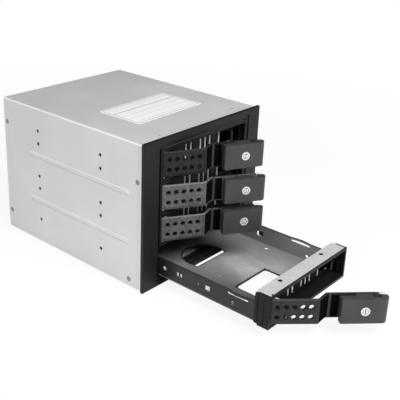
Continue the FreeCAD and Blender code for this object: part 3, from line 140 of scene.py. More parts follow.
class Shader:
    """A material or a world under construction."""

    def __init__(self, name: str, world: bool = False) -> None:
        """Start with an output node alone.

        Args:
            name: The name of the material or world.
            world: Whether a world is made, and not a material.
        """
        home, output = (bpy.data.worlds, "OutputWorld") if world else (bpy.data.materials, "OutputMaterial")
        self.owner = home.new(name)
        self.owner.use_nodes = True
        self.tree = self.owner.node_tree
        self.tree.nodes.clear()
        self.output = self.node(output)

    def node(self, kind: str, settings: dict | None = None, **sockets: object) -> Node:
        """Add a node.

        Args:
            kind: The node's type without its ShaderNode prefix.
            settings: Attributes that are set before the sockets.
            sockets: Values or wires by socket name; an underscore stands for a space.

        Returns:
            The new node.
        """
        made = self.tree.nodes.new(f"ShaderNode{kind}")
        for key, content in (settings or {}).items():
            setattr(made, key, content)
        for key, content in sockets.items():
            self.plug(made.inputs[key.replace("_", " ")], content)
        return made

    def plug(self, entry: NodeSocket, content: object) -> None:
        """Link a wire to a socket, or set the socket's own value."""
        if isinstance(content, Wire):
            self.tree.links.new(content.socket, entry)
        else:
            entry.default_value = content

    def wire(self, made: Node, name: str) -> Wire:
        """Return one output of a node."""
        return Wire(self, made.outputs[name])

    def fed(self, kind: str, settings: dict, terms: tuple, output: str) -> Wire:
        """Return an output of a new node whose first inputs take the terms in order.

        Args:
            kind: The node's type without its ShaderNode prefix.
            settings: Attributes that are set before the inputs.
            terms: Values or wires.
            output: The output's name.

        Returns:
            The output.
        """
        made = self.node(kind, settings)
        for entry, term in zip(made.inputs, terms):
            self.plug(entry, term)
        return self.wire(made, output)

    def math(self, operation: str, *terms: Term) -> Wire:
        """Return the outcome of a Math node."""
        return self.fed("Math", {"operation": operation}, terms, "Value")

    def vector(self, operation: str, *terms: object, output: str = "Vector") -> Wire:
        """Return the outcome of a Vector Math node."""
        return self.fed("VectorMath", {"operation": operation}, terms, output)

    def place(self) -> Wire:
        """Return the Object coordinates, which are metres in the cage's own frame."""
        return self.wire(self.node("TexCoord"), "Object")

    def axes(self) -> tuple[Wire, Wire, Wire]:
        """Return x, y and z of the Object coordinates."""
        split = self.node("SeparateXYZ", Vector=self.place())
        return tuple(self.wire(split, axis) for axis in "XYZ")

    def stretched(self, scale: Triple) -> Wire:
        """Return the Object coordinates, scaled along each axis."""
        return self.wire(self.node("Mapping", Vector=self.place(), Scale=scale), "Vector")

    def noise(self, size: float, detail: float = 2.0, place: Wire | None = None, rough: float = 0.5) -> Wire:
        """Return noise from 0 to 1.

        Args:
            size: The size of its features in metres.
            detail: How many finer layers it has.
            place: Coordinates to use in place of the plain Object coordinates.
            rough: How strong the finer layers are.

        Returns:
            The noise.
        """
        made = self.node("TexNoise", None, Vector=place or self.place(), Scale=1 / size, Detail=detail,
                         Roughness=rough)
        return self.wire(made, "Fac")

    def spread(self, amount: Wire, low: float, high: float, start: float = 0.0, stop: float = 1.0) -> Wire:
        """Return an amount mapped from low..high to start..stop, held inside them."""
        return self.fed("MapRange", {"clamp": True}, (amount, low, high, start, stop), "Result")

    def band(self, amount: Wire, middle: float, half: float, soft: float) -> Wire:
        """Return 1 within half of the middle, falling to 0 over a soft edge."""
        away = self.math("ABSOLUTE", amount - middle)
        return 1 - self.spread(away, half, half + soft)

    def away(self, x: Wire, y: Wire, middle: Pair) -> Wire:
        """Return the distance in plan from a point."""
        off_x, off_y = x - middle[0], y - middle[1]
        return self.math("SQRT", off_x * off_x + off_y * off_y)

    def largest(self, *terms: Wire) -> Wire:
        """Return the largest of some amounts."""
        return reduce(lambda first, second: self.math("MAXIMUM", first, second), terms)

    def blend(self, first: "Wire | Colour", second: "Wire | Colour", amount: Wire) -> Wire:
        """Return two colours mixed.

        Args:
            first: The colour where the amount is 0.
            second: The colour where the amount is 1.
            amount: The second colour's share.

        Returns:
            The mixed colour.
        """
        made = self.node("Mix", {"data_type": "RGBA", "blend_type": "MIX"})
        for index, content in ((0, amount), (6, first), (7, second)):
            self.plug(made.inputs[index], content)
        return Wire(self, made.outputs[2])

    def layered(self, colour: "Wire | Colour", *layers: tuple[float, Wire]) -> Wire:
        """Return a colour with greys laid over it, one after another.

        Args:
            colour: The colour below.
            layers: Each grey's display level, and where it lies, from 0 to 1.

        Returns:
            The colour on top.
        """
        for level, amount in layers:
            colour = self.blend(colour, grey(level), amount)
        return colour

    def bump(self, height: Wire, depth: float, under: Wire | None = None) -> Wire:
        """Return a bumped normal.

        Args:
            height: The height, from 0 to 1.
            depth: The height's full size in metres.
            under: A bumped normal to lay it on.

        Returns:
            The normal.
        """
        made = self.node("Bump", None, Height=height, Distance=depth, Strength=1.0)
        if under:
            self.plug(made.inputs["Normal"], under)
        return self.wire(made, "Normal")

    def end(self, shade: Node) -> Material | World:
        """Link a shader node to the output, and return the material or world."""
        self.tree.links.new(shade.outputs[0], self.output.inputs["Surface"])
        return self.owner

    def principled(self, **sockets: object) -> Material:
        """Finish the material with a Principled BSDF, its values or wires given by socket name."""
        return self.end(self.node("BsdfPrincipled", None, **sockets))

    def cover(self, shade: Node, amount: Wire) -> Material:
        """Lay a shader node over the finished surface.

        Args:
            shade: The node.
            amount: Where it lies, from 0 to 1.

        Returns:
            The material.
        """
        mix = self.node("MixShader", None, Fac=amount)
        self.tree.links.new(self.output.inputs["Surface"].links[0].from_socket, mix.inputs[1])
        self.tree.links.new(shade.outputs[0], mix.inputs[2])
        return self.end(mix)

    def seen(self) -> Wire:
        """Return 1 for what the camera sees, straight or through clear plastic, 0 for other light."""
        path = self.node("LightPath")
        return self.largest(self.wire(path, "Is Camera Ray"), self.wire(path, "Is Transmission Ray"))


def grey(level: float, warm: float = 0.0) -> Colour:
    """Return a linear grey from a display level.

    Args:
        level: Brightness from 0 to 255, as a screen shows it; more counts as 255.
        warm: Extra red and less blue, as a share of the level.

    Returns:
        The colour with an alpha of 1.
    """
    tint = [min(level, 255.0) / 255 * (1 + warm * lean) for lean in (1, 0, -1)]
    linear = [((part + 0.055) / 1.055) ** 2.4 if part > 0.04045 else part / 12.92 for part in tint]
    return (*linear, 1.0)


def turned(x: Term, y: Term, turn: float) -> tuple:
    """Return a place in plan turned counter-clockwise about the origin, by an angle in radians."""
    cosine, sine = math.cos(turn), math.sin(turn)
    return cosine * x - sine * y, sine * x + cosine * y


# Finishes: places and sizes are in metres in the cage's own frame, levels run from 0 to 255


@dataclass(frozen=True)
class SheetSteel:
    """Smooth zinc-coated sheet steel with faint smudges, bend marks and two punched dimples in its top;
    painted highlights lie on its top bends and cut front edge, painted light and shade on its rib flanks, and
    painted shade in the dimples.
    """

    ribs: Pair
    rib_ends: Pair
    name: str = "sheet_steel"
    level: float = 212.0
    metal: float = 0.25
    rough: float = 0.5
    cloud_size: float = 0.05
    scuff_size: float = 0.0022
    scuff_stretch: Triple = (1.0, 0.12, 1.0)
    speck_size: float = 0.0005
    speck_depth: float = 0.000006
    dimples: tuple = ((-0.0465, -0.0799), (0.0516, -0.0753))
    dimple_radius: float = 0.0012
    dimple_depth: float = 0.0004
    bends: Pair = (-0.0825, 0.0815)
    bend_half: float = 0.00015
    rib_half: float = 0.0025
    rib_fade: float = 0.002
    flank_half: float = 0.00035
    flank_inset: float = 0.00045
    soft: float = 0.0003
    half_width: float = 0.073
    front_edge: float = -0.087
    top: float = 0.1262
    skin: float = 0.0002
    side_highlight: Pair = (0.0012, 0.0004)
    top_highlight: float = 0.0006
    cut_highlight: Pair = (0.0003, 0.0008)

    def make(self) -> Material:
        """Mix the steel.

        Returns:
            The material.
        """
        sh = Shader(self.name)
        cloud, speck = sh.noise(self.cloud_size, 4), sh.noise(self.speck_size, 2)
        scuff = sh.noise(self.scuff_size, 4, sh.stretched(self.scuff_stretch), 0.7)
        scuff = sh.spread(scuff, 0.66, 0.8)
        tone = sh.spread(cloud, 0.3, 0.7)
        pits = self.pits(sh)
        colour = sh.layered(
            grey(self.level - 4),
            (self.level + 3, tone),
            (self.level - 14, 0.18 * scuff),
            (self.level - 30, 0.4 * self.bend_marks(sh)),
            # painted highlight along the top bends and the cut front edge
            (255, 0.75 * self.painted_edge_highlight(sh)),
            # painted shade on the ribs' lower flanks and a painted highlight on their upper flanks
            (self.level - 44, 0.55 * self.rib_flank_light_and_shade(sh, Flank.LOWER)),
            (250, 0.45 * self.rib_flank_light_and_shade(sh, Flank.UPPER)),
            # the dimples are painted darker, as painted shade in their hollows
            (self.level - 80, 0.8 * pits))
        rough = self.rough + 0.06 * (tone - 0.5) + 0.05 * (speck - 0.5) - 0.08 * scuff
        normal = sh.bump(1 - pits, self.dimple_depth, sh.bump(speck, self.speck_depth))
        return sh.principled(Base_Color=colour, Metallic=self.metal, Roughness=rough, Normal=normal)

    def bend_marks(self, sh: Shader) -> Wire:
        """Return 1 along the press marks beside the front and rear edges, 0 elsewhere."""
        _, y, _ = sh.axes()
        return sh.largest(*(sh.band(y, middle, self.bend_half, self.soft) for middle in self.bends))

    def painted_edge_highlight(self, sh: Shader) -> Wire:
        """Return 1 on the painted highlight along the top bends and the cut front edge, 0 elsewhere.

        Args:
            sh: The material's shader.

        Returns:
            The mask.
        """
        x, y, z = sh.axes()
        side = sh.spread(sh.math("ABSOLUTE", x), *(self.half_width - inset for inset in self.side_highlight))
        bend = side * sh.spread(z, self.top - self.top_highlight, self.top)
        cut = 1 - sh.spread(y, *(self.front_edge + inset for inset in self.cut_highlight))
        return sh.largest(bend, cut)

    def rib_flank_light_and_shade(self, sh: Shader, flank: Flank) -> Wire:
        """Return 1 on one flank of each rib, 0 elsewhere; the lower flank gets painted shade and the upper
        flank a painted highlight.

        Args:
            sh: The material's shader.
            flank: Which flank.

        Returns:
            The mask.
        """
        x, y, z = sh.axes()
        rise = flank.value * (self.rib_half - self.flank_inset)
        found = sh.largest(*(sh.band(z, height + rise, self.flank_half, self.soft) for height in self.ribs))
        front, rear = self.rib_ends
        inside = sh.spread(y, front, front + self.rib_fade) * (1 - sh.spread(y, rear - self.rib_fade, rear))
        return found * inside * (sh.math("ABSOLUTE", x) > self.half_width - self.skin)

    def pits(self, sh: Shader) -> Wire:
        """Return 1 in the punched dimples, 0 elsewhere.

        Args:
            sh: The material's shader.

        Returns:
            The mask.
        """
        x, y, z = sh.axes()
        found = [1 - sh.spread(sh.away(x, y, middle), 0.5 * self.dimple_radius, self.dimple_radius)
                 for middle in self.dimples]
        return sh.largest(*found) * (z > self.top)


@dataclass(frozen=True)
class Moulded:
    """Spark-eroded black plastic: a fine grain, slightly polished where hands touch it."""

    name: str
    level: float
    rough: float = 0.46
    shine: float = 0.35
    cloud_size: float = 0.02
    rub_size: float = 0.009
    grain_size: float = 0.00035
    grain_depth: float = 0.00001

    def make(self) -> Material:
        """Mix the plastic.

        Returns:
            The material.
        """
        sh = Shader(self.name)
        grain, cloud = sh.noise(self.grain_size, 3), sh.noise(self.cloud_size, 3)
        rub = sh.spread(sh.noise(self.rub_size, 4, None, 0.65), 0.62, 0.8)
        colour = sh.layered(
            grey(self.level * 0.9),
            (self.level * 1.1, sh.spread(cloud, 0.3, 0.7)),
            (self.level * 1.5 + 8, sh.spread(grain, 0.6, 0.78, 0, 0.4)),
            (self.level * 1.25 + 6, 0.2 * rub))
        rough = self.rough + 0.12 * (cloud - 0.5) + 0.08 * (grain - 0.5) - 0.08 * rub
        return sh.principled(Base_Color=colour, Roughness=rough, Specular_IOR_Level=self.shine,
                             Normal=sh.bump(grain, self.grain_depth))


@dataclass(frozen=True)
class Hinge:
    """Where a lever's hinge stands, and how far the lever is open in radians."""

    spot: Vector
    turn: float

    def local(self, x: Term, y: Term) -> tuple:
        """Return a place in plan, measured along the closed lever and behind its hinge."""
        return turned(x - self.spot.x, y - self.spot.y, self.turn)

    def facing(self) -> Triple:
        """Return the way in which the lever's front faces."""
        return -math.sin(self.turn), -math.cos(self.turn), 0.0


@dataclass(frozen=True)
class LeverPlastic:
    """Grained black plastic of a lever arm, matt and with painted shade in its neck, a painted highlight on
    the neck's upright strip and painted highlights along the panel's upper and lower rims.

    Height holds the arm's bottom and top. Neck, strip and rear are measured from the hinge.
    """

    name: str
    level: float
    hinge: Hinge
    height: Pair
    rough: float = 0.46
    shine: float = 0.16
    cloud_size: float = 0.012
    coarse_size: float = 0.0009
    fine_size: float = 0.00035
    fine_depth: float = 0.000014
    neck: Pair = (0.0355, 0.0522)
    neck_shade_level: float = 13.0
    neck_fade: float = 0.0008
    neck_rim: float = 0.0009
    rear: float = 0.0081
    strip: float = 0.0450
    strip_half: float = 0.0008
    strip_soft: float = 0.0003
    strip_highlight_level: float = 56.0
    highlight_band: Pair = (0.0001, 0.0004)

    def make(self) -> Material:
        """Mix the plastic.

        Returns:
            The material.
        """
        sh = Shader(self.name)
        fine, coarse = sh.noise(self.fine_size, 3), sh.noise(self.coarse_size, 1)
        cloud = sh.noise(self.cloud_size, 3)
        colour = sh.layered(
            grey(self.level * 0.88),
            (self.level * 1.12, sh.spread(cloud, 0.3, 0.7)),
            (self.level * 1.7 + 10, sh.spread(fine, 0.58, 0.76, 0, 0.5)),
            (self.level * 0.4, sh.spread(fine, 0.42, 0.28, 0, 0.4)),
            (self.level * 1.5 + 12, sh.spread(coarse, 0.54, 0.7, 0, 0.55)),
            (self.level * 0.45, sh.spread(coarse, 0.46, 0.3, 0, 0.5)),
            # painted highlight on the neck's upright strip
            (self.strip_highlight_level, self.strip_highlight_mask(sh)),
            # painted highlight along the panel's upper and lower rims
            (self.level * 1.6 + 14, 0.6 * self.rims(sh)))
        sh.principled(Base_Color=colour, Roughness=self.rough + 0.1 * (cloud - 0.5),
                      Specular_IOR_Level=self.shine, Normal=sh.bump(fine, self.fine_depth))
        # the neck is covered with a dark matt shader as painted shade
        return sh.cover(sh.node("BsdfDiffuse", None, Color=grey(self.neck_shade_level)), self.neck_shade_mask(sh))

    def local(self, sh: Shader) -> tuple[Wire, Wire, Wire]:
        """Return the place along the closed lever, behind its hinge, and z."""
        x, y, z = sh.axes()
        return (*self.hinge.local(x, y), z)

    def strip_highlight_mask(self, sh: Shader) -> Wire:
        """Return 1 on the neck's upright strip, where a highlight is painted, 0 elsewhere."""
        along, _, _ = self.local(sh)
        return sh.band(along, self.strip, self.strip_half, self.strip_soft)

    def neck_shade_mask(self, sh: Shader) -> Wire:
        """Return 1 where the neck gets painted shade, 0 on its upright strip and elsewhere.

        Args:
            sh: The material's shader.

        Returns:
            The mask.
        """
        along, behind, z = self.local(sh)
        (near, far), (low, high) = self.neck, self.height
        inside = sh.spread(along, near, near + self.neck_fade) * (along < far) * (behind < self.rear)
        return inside * (z > low + self.neck_rim) * (z < high - self.neck_rim) * (1 - self.strip_highlight_mask(sh))

    def rims(self, sh: Shader) -> Wire:
        """Return 1 along the panel's upper and lower rims, where a highlight is painted, 0 elsewhere.

        Args:
            sh: The material's shader.

        Returns:
            The mask.
        """
        along, _, z = self.local(sh)
        (low, high), (thin, thick) = self.height, self.highlight_band
        upper = sh.spread(z, high - thick, high - thin)
        lower = 1 - sh.spread(z, low + thin, low + thick)
        return sh.largest(upper, lower) * (along < self.neck[0])


@dataclass(frozen=True)
class PanPaint:
    """Semi-gloss black paint on sheet steel; its floor carries a painted reflection streak, with painted
    shade at the front left and on the opening rims, and the near wall's outer face is painted darker than the
    inner faces.

    Front is the y of the tray's front face, and what lies along the tray is measured from it. A pair that
    ends in fade says where the mask starts and where it is full.
    """

    name: str
    floor_top: float
    wall_top: float
    front: float
    outer_face_shade_level: float = 30.0
    inside: float = 120.0
    floor_level: float = 182.0
    rim_shade_level: float = 22.0
    tab_level: float = 10.0
    edge_level: float = 20.0
    rough: float = 0.36
    cloud_size: float = 0.03
    wisp_size: float = 0.018
    wisp_stretch: Triple = (1.0, 0.45, 1.0)
    peel_size: float = 0.0016
    peel_depth: float = 0.000012
    half_width: float = 0.054
    wall_fade: Pair = (0.0001, 0.0006)
    edge_fade: Pair = (0.0008, 0.0004)
    floor_fade: float = 0.0008
    reflection_streak_fade: Pair = (0.125, 0.02)
    streak: Triple = (0.006, 0.008, 0.036)
    shade_fade: Pair = (0.11, 0.05)
    shade_side_fade: Pair = (0.01, -0.03)
    soft: float = 0.0002
    window: tuple = ((-0.02395, 0.01555), (0.0185, 0.053))
    window_rim: float = 0.0014
    disc: Pair = (-0.0016, 0.1055)
    disc_radius: float = 0.0198
    disc_flat: float = 0.0970
    disc_rim: float = 0.0009
    tab: Pair = (0.086, 0.0079)
    tab_half: Pair = (0.0033, 0.0023)
    tab_skin: float = 0.0025

    def make(self) -> Material:
        """Mix the paint.

        Returns:
            The material.
        """
        sh = Shader(self.name)
        x, _, z = sh.axes()
        cloud = sh.noise(self.cloud_size, 4, None, 0.6)
        wisp = sh.noise(self.wisp_size, 5, sh.stretched(self.wisp_stretch), 0.65)
        wisp = sh.spread(wisp, 0.42, 0.72)
        # one paint at two levels as painted light and shade: the near wall's outer face darker, the inner
        # faces lighter
        wall = sh.spread(x, *(-self.half_width + inset for inset in self.wall_fade))
        colour = sh.layered(grey(self.outer_face_shade_level), (self.inside, wall), (self.inside * 1.3, 0.35 * cloud * wall))
        edge = sh.spread(z, *(self.wall_top - drop for drop in self.edge_fade))
        on_floor = 1 - sh.spread(z, self.floor_top, self.floor_top + self.floor_fade)
        colour = sh.layered(
            sh.blend(colour, self.floor(sh, cloud, wisp), on_floor),
            (self.tab_level, self.tab_mask(sh)),
            (self.edge_level, 0.9 * edge))
        rough = self.rough + 0.16 * (cloud - 0.5) + 0.1 * wisp
        normal = sh.bump(sh.noise(self.peel_size, 3), self.peel_depth)
        return sh.principled(Base_Color=colour, Metallic=0.1, Roughness=rough, Specular_IOR_Level=0.4,
                             Coat_Weight=0.12, Coat_Roughness=0.25, Normal=normal)

    def floor(self, sh: Shader, cloud: Wire, wisp: Wire) -> Wire:
        """Return the floor's colour, with a pale painted reflection streak and painted shade at the front
        left.

        Args:
            sh: The material's shader.
            cloud: Wide noise.
            wisp: Noise drawn out along the floor.

        Returns:
            The colour.
        """
        x, y, _ = sh.axes()
        near, dim = (sh.spread(y, *(self.front + back for back in fade))
                     for fade in (self.reflection_streak_fade, self.shade_fade))
        highlight_band, shade = near * sh.band(x, *self.streak), dim * sh.spread(x, *self.shade_side_fade)
        # the pale streak and its wisps are a painted reflection; the dark front left is painted shade
        return sh.layered(
            grey(self.floor_level * 0.62),
            (self.floor_level, 0.3 * cloud + 0.7 * highlight_band),
            (self.floor_level * 1.35, 0.6 * wisp * highlight_band),
            (self.floor_level * 0.42, 0.8 * shade),
            # painted shade on the rims of the floor window and the round opening
            (self.rim_shade_level, 0.9 * self.rims(sh)))

    def tab_mask(self, sh: Shader) -> Wire:
        """Return 1 on the dark tab of the far wall, 0 elsewhere.

        Args:
            sh: The material's shader.

        Returns:
            The mask.
        """
        x, y, z = sh.axes()
        (along, up), (half_long, half_high) = self.tab, self.tab_half
        inside = sh.band(y, self.front + along, half_long, self.soft)
        inside = inside * sh.band(z, self.floor_top + up, half_high, self.soft)
        return inside * (x > self.half_width - self.tab_skin)

    def rims(self, sh: Shader) -> Wire:
        """Return 1 on the rolled rims of the floor window and the round opening, where shade is painted, 0
        elsewhere.

        Args:
            sh: The material's shader.

        Returns:
            The mask.
        """
        x, y, _ = sh.axes()
        (left, right), (near, far) = self.window
        over_x = sh.math("ABSOLUTE", x - (left + right) / 2) - (right - left) / 2
        over_y = sh.math("ABSOLUTE", y - (self.front + (near + far) / 2)) - (far - near) / 2
        window = sh.band(sh.largest(over_x, over_y), 0.0, self.window_rim, self.soft)
        around = sh.away(x, y, (self.disc[0], self.front + self.disc[1])) - self.disc_radius
        disc = sh.band(sh.largest(around, (self.front + self.disc_flat) - y), 0.0, self.disc_rim, self.soft)
        return sh.largest(window, disc)


@dataclass(frozen=True)
class SpeckledZinc:
    """Bright zinc-plated sheet with a fine granular surface, faint rubbing, painted shade in its sunk holes
    and painted shade along its front edge.

    The shade lip is the y where the painted shade along the front edge ends.
    """

    name: str
    shade_lip: float
    holes: tuple
    level: float = 244.0
    shade_lip_fade: float = 0.0003
    shade_lip_level: float = 58.0
    hole_shade_level: float = 46.0
    rough: float = 0.42
    metal: float = 0.45
    cloud_size: float = 0.012
    fine_size: float = 0.0003
    cell_size: float = 0.0006
    cell_depth: float = 0.000025
    hole_rim: float = 0.0021
    hole_fade: float = 0.0005
    hole_depth: float = 0.0006

    def make(self) -> Material:
        """Mix the zinc.

        Returns:
            The material.
        """
        sh = Shader(self.name)
        x, y, _ = sh.axes()
        cells = sh.node("TexVoronoi", {"feature": "F1"}, Vector=sh.place(), Scale=1 / self.cell_size)
        cloud, fine = sh.noise(self.cloud_size, 3), sh.noise(self.fine_size, 2)
        mixed = sh.spread(0.55 * sh.wire(cells, "Distance") + 0.45 * fine, 0.25, 0.7)
        colour = sh.layered(
            grey(self.level * 0.84),
            (self.level * 1.06, mixed),
            (self.level * 0.9, sh.spread(cloud, 0.4, 0.75, 0, 0.5)),
            # painted shade along the bracket's front edge
            (self.shade_lip_level, 0.85 * (1 - sh.spread(y, self.shade_lip - self.shade_lip_fade, self.shade_lip))))
        normal = sh.bump(mixed, self.cell_depth)
        # painted shade in the sunk rims around the bracket's holes, which are also bumped down
        for middle in self.holes:
            sunk = 1 - sh.spread(sh.away(x, y, middle), self.hole_rim - self.hole_fade, self.hole_rim)
            colour = sh.layered(colour, (self.hole_shade_level, 0.92 * sunk))
            normal = sh.bump(1 - sunk, self.hole_depth, normal)
        rough = self.rough + 0.16 * (mixed - 0.5) + 0.1 * (cloud - 0.5)
        return sh.principled(Base_Color=colour, Metallic=self.metal, Roughness=rough, Normal=normal)


@dataclass(frozen=True)
class Brushed:
    """Bright zinc-plated sheet with fine upright brush lines."""

    name: str
    level: float
    stretch: Triple = (1.0, 1.0, 0.025)
    rough: float = 0.3
    metal: float = 0.85
    cloud_size: float = 0.02
    line_size: float = 0.0009
    fine_size: float = 0.00035
    depth: float = 0.000008

    def make(self) -> Material:
        """Mix the zinc.

        Returns:
            The material.
        """
        sh = Shader(self.name)
        lines, fine = (sh.noise(size, detail, sh.stretched(self.stretch))
                       for size, detail in ((self.line_size, 3), (self.fine_size, 2)))
        streak = sh.spread(0.65 * lines + 0.35 * fine, 0.35, 0.65)
        colour = sh.layered(grey(self.level * 0.88), (self.level * 1.06, streak))
        rough = self.rough + 0.16 * (streak - 0.5) + 0.1 * (sh.noise(self.cloud_size, 2) - 0.5)
        return sh.principled(Base_Color=colour, Metallic=self.metal, Roughness=rough,
                             Normal=sh.bump(streak, self.depth))


@dataclass(frozen=True)
class Plain:
    """A small part's finish with slight unevenness."""

    name: str
    level: float
    rough: float = 0.4
    metal: float = 0.0
    warm: float = 0.0
    cloud_size: float = 0.003
    fine_size: float = 0.0006
    depth: float = 0.000006

    def make(self) -> Material:
        """Mix the finish.

        Returns:
            The material.
        """
        sh = Shader(self.name)
        cloud = sh.noise(self.cloud_size, 3)
        dim, bright = (grey(self.level * share, self.warm) for share in (0.92, 1.06))
        return sh.principled(Base_Color=sh.blend(dim, bright, cloud), Metallic=self.metal,
                             Roughness=self.rough + 0.12 * (cloud - 0.5),
                             Normal=sh.bump(sh.noise(self.fine_size, 2), self.depth))


@dataclass(frozen=True)
class LockNickel:
    """Bright nickel with a dark turned groove around the keyed plug.

    The lock's axis passes through middle, and groove is the groove's radius.
    """

    name: str
    middle: Triple
    axis: Triple
    groove: float = 0.0021
    groove_half: float = 0.00022
    groove_soft: float = 0.00015
    groove_level: float = 60.0
    ring_pitch: float = 0.00012
    ring_depth: float = 0.00001
    cloud_size: float = 0.002
    level: float = 236.0

    def make(self) -> Material:
        """Mix the nickel.

        Returns:
            The material.
        """
        sh = Shader(self.name)
        off = sh.vector("SUBTRACT", sh.place(), self.middle)
        away = sh.vector("LENGTH", sh.vector("CROSS_PRODUCT", off, self.axis), output="Value")
        ring = sh.band(away, self.groove, self.groove_half, self.groove_soft)
        rings = sh.math("PINGPONG", away, self.ring_pitch) / self.ring_pitch
        cloud = sh.noise(self.cloud_size, 3)
        colour = sh.layered(grey(self.level - 10), (self.level + 8, cloud), (self.groove_level, 0.85 * ring))
        return sh.principled(Base_Color=colour, Metallic=0.4, Roughness=0.3 + 0.1 * cloud,
                             Normal=sh.bump(rings - 4 * ring, self.ring_depth))


@dataclass(frozen=True)
class ClearPipe:
    """Clear acrylic with a frosted end and a faint painted glow."""

    name: str = "light_pipe"
    frost_size: float = 0.0004

    def make(self) -> Material:
        """Mix the acrylic.

        Returns:
            The material.
        """
        sh = Shader(self.name)
        frost = sh.noise(self.frost_size, 2)
        return sh.principled(Base_Color=sh.blend(grey(236), grey(250), frost), Roughness=0.15 + 0.2 * frost,
                             Coat_Weight=0.5, Transmission_Weight=0.2, IOR=1.49,
                             # faint emission: a painted glow, as no lamp feeds the pipe
                             Emission_Color=grey(235), Emission_Strength=0.12)


@dataclass(frozen=True)
class BoardMask:
    """Green solder mask, paler where it covers copper tracks."""

    name: str = "circuit_board"
    stain_size: float = 0.004
    track_width: float = 0.00028
    track_grid: Pair = (0.0215, 0.0031)
    track_depth: float = 0.00003
    dark: Colour = (0.004, 0.05, 0.02, 1)
    green: Colour = (0.008, 0.075, 0.03, 1)
    pale: Colour = (0.02, 0.15, 0.06, 1)

    def make(self) -> Material:
        """Mix the mask.

        Returns:
            The material.
        """
        sh = Shader(self.name)
        x, y, z = sh.axes()
        plane = sh.wire(sh.node("CombineXYZ", None, X=x, Y=z, Z=y), "Vector")
        tracks = sh.node("TexBrick", {"offset": 0.37, "squash": 1.0}, Vector=plane, Scale=1.0,
                         Color1=grey(0), Color2=grey(0), Mortar=grey(255), Mortar_Size=self.track_width,
                         Brick_Width=self.track_grid[0], Row_Height=self.track_grid[1])
        line = sh.wire(tracks, "Fac")
        stain = sh.spread(sh.noise(self.stain_size, 3), 0.5, 0.8, 0, 0.5)
        colour = sh.blend(sh.blend(self.green, self.pale, line), self.dark, stain)
        return sh.principled(Base_Color=colour, Roughness=0.32 - 0.08 * line, Coat_Weight=0.4,
                             Normal=sh.bump(line, self.track_depth))


@dataclass(frozen=True)
class LabelFilm:
    """Blank white label film with a thin printed frame and ruled rows."""

    middle: Pair
    wide: float
    high: float
    turn: float
    name: str = "label_film"
    inset: float = 0.0022
    line: float = 0.00022
    soft: float = 0.0001
    line_level: float = 70.0
    row_pitch: float = 0.0042
    divide_share: float = 0.42
    fibre_size: float = 0.0009
    fibre_depth: float = 0.000006

    def make(self) -> Material:
        """Mix the film.

        Returns:
            The material.
        """
        sh = Shader(self.name)
        fibre = sh.noise(self.fibre_size, 3)
        colour = sh.layered(grey(240), (250, fibre), (self.line_level, 0.9 * self.ruled(sh)))
        return sh.principled(Base_Color=colour, Roughness=0.36 + 0.1 * fibre, Coat_Weight=0.15,
                             Normal=sh.bump(fibre, self.fibre_depth))

    def ruled(self, sh: Shader) -> Wire:
        """Return 1 on the printed frame, less on the rows, and 0 elsewhere.

        Args:
            sh: The material's shader.

        Returns:
            The mask.
        """
        x, y, _ = sh.axes()
        over, up = turned(x - self.middle[0], y - self.middle[1], -self.turn)
        across, tall = sh.math("ABSOLUTE", over), sh.math("ABSOLUTE", up)
        half_wide, half_high = self.wide / 2 - self.inset, self.high / 2 - self.inset
        sides = sh.band(across, half_wide, self.line, self.soft) * (tall < half_high)
        ends = sh.band(tall, half_high, self.line, self.soft) * (across < half_wide)
        divide = sh.band(up, half_high * self.divide_share, self.line, self.soft) * (across < half_wide)
        rows = sh.band(sh.math("PINGPONG", up + 1.0, self.row_pitch), 0.0, self.line * 0.6, self.soft)
        margin = 1.5 * self.inset
        rows = rows * (across < half_wide - margin) * (tall < half_high - margin)
        return sh.largest(sides, ends, divide, 0.6 * rows)


# Pieces


def body_of(node: str) -> str:
    """Return the name of the moving body that holds a node."""
    bodies = frame["record"]["behaviour"]["bodies"]
    return next(body for body, nodes in bodies.items() if node in nodes)


def merged(node: str) -> BMesh:
    """Copy a CAD node's mesh, its loose triangles joined into plain faces.

    Args:
        node: The CAD node.

    Returns:
        The copy.
    """
    source = frame["nodes"][node]
    shape = bmesh.new()
    shape.from_mesh(source.data)
    bmesh.ops.transform(shape, matrix=source.matrix_world, verts=shape.verts)
    bmesh.ops.remove_doubles(shape, verts=shape.verts, dist=WELD)
    bmesh.ops.dissolve_limit(shape, angle_limit=FLAT_TURN, verts=shape.verts, edges=shape.edges)
    return shape


def bevelled(shape: BMesh, geometry: list, width: float, segments: int = 2,
             affect: str = "EDGES", clamp: bool = False) -> None:
    """Bevel edges or corners.

    Args:
        shape: The mesh.
        geometry: The edges, or the vertices where corners are bevelled.
        width: The bevel's width, in metres.
        segments: Faces across it.
        affect: EDGES or VERTICES.
        clamp: Whether bevels that meet are narrowed.
    """
    bmesh.ops.bevel(shape, geom=geometry, offset=width, offset_type="OFFSET", segments=segments, profile=0.5,
                    affect=affect, clamp_overlap=clamp, material=-1)


def as_object(shape: BMesh, name: str, finish: Material, smooth: bool = True) -> Object:
    """Turn a bmesh into an object with one material.

    Args:
        shape: The mesh, which is freed.
        name: The new object's name.
        finish: Its material.
        smooth: Whether faces blend over edges that aren't sharp.

    Returns:
        The object, linked to the scene.
    """
    mesh = bpy.data.meshes.new(name)
    for face in shape.faces:
        face.smooth = smooth
    for edge in shape.edges:
        edge.smooth = len(edge.link_faces) == 2 and edge.calc_face_angle(0.0) < SHARP_TURN
    shape.to_mesh(mesh)
    shape.free()
    mesh.materials.append(finish)
    piece = bpy.data.objects.new(name, mesh)
    bpy.context.scene.collection.objects.link(piece)
    return piece


def stand_in(piece: Object, node: str) -> None:
    """Let a piece take a CAD node's place on its body, and hide the node.

    Args:
        piece: The piece, a dressed copy.
        node: The CAD node.
    """
    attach(piece, body_of(node))
    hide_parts(node)


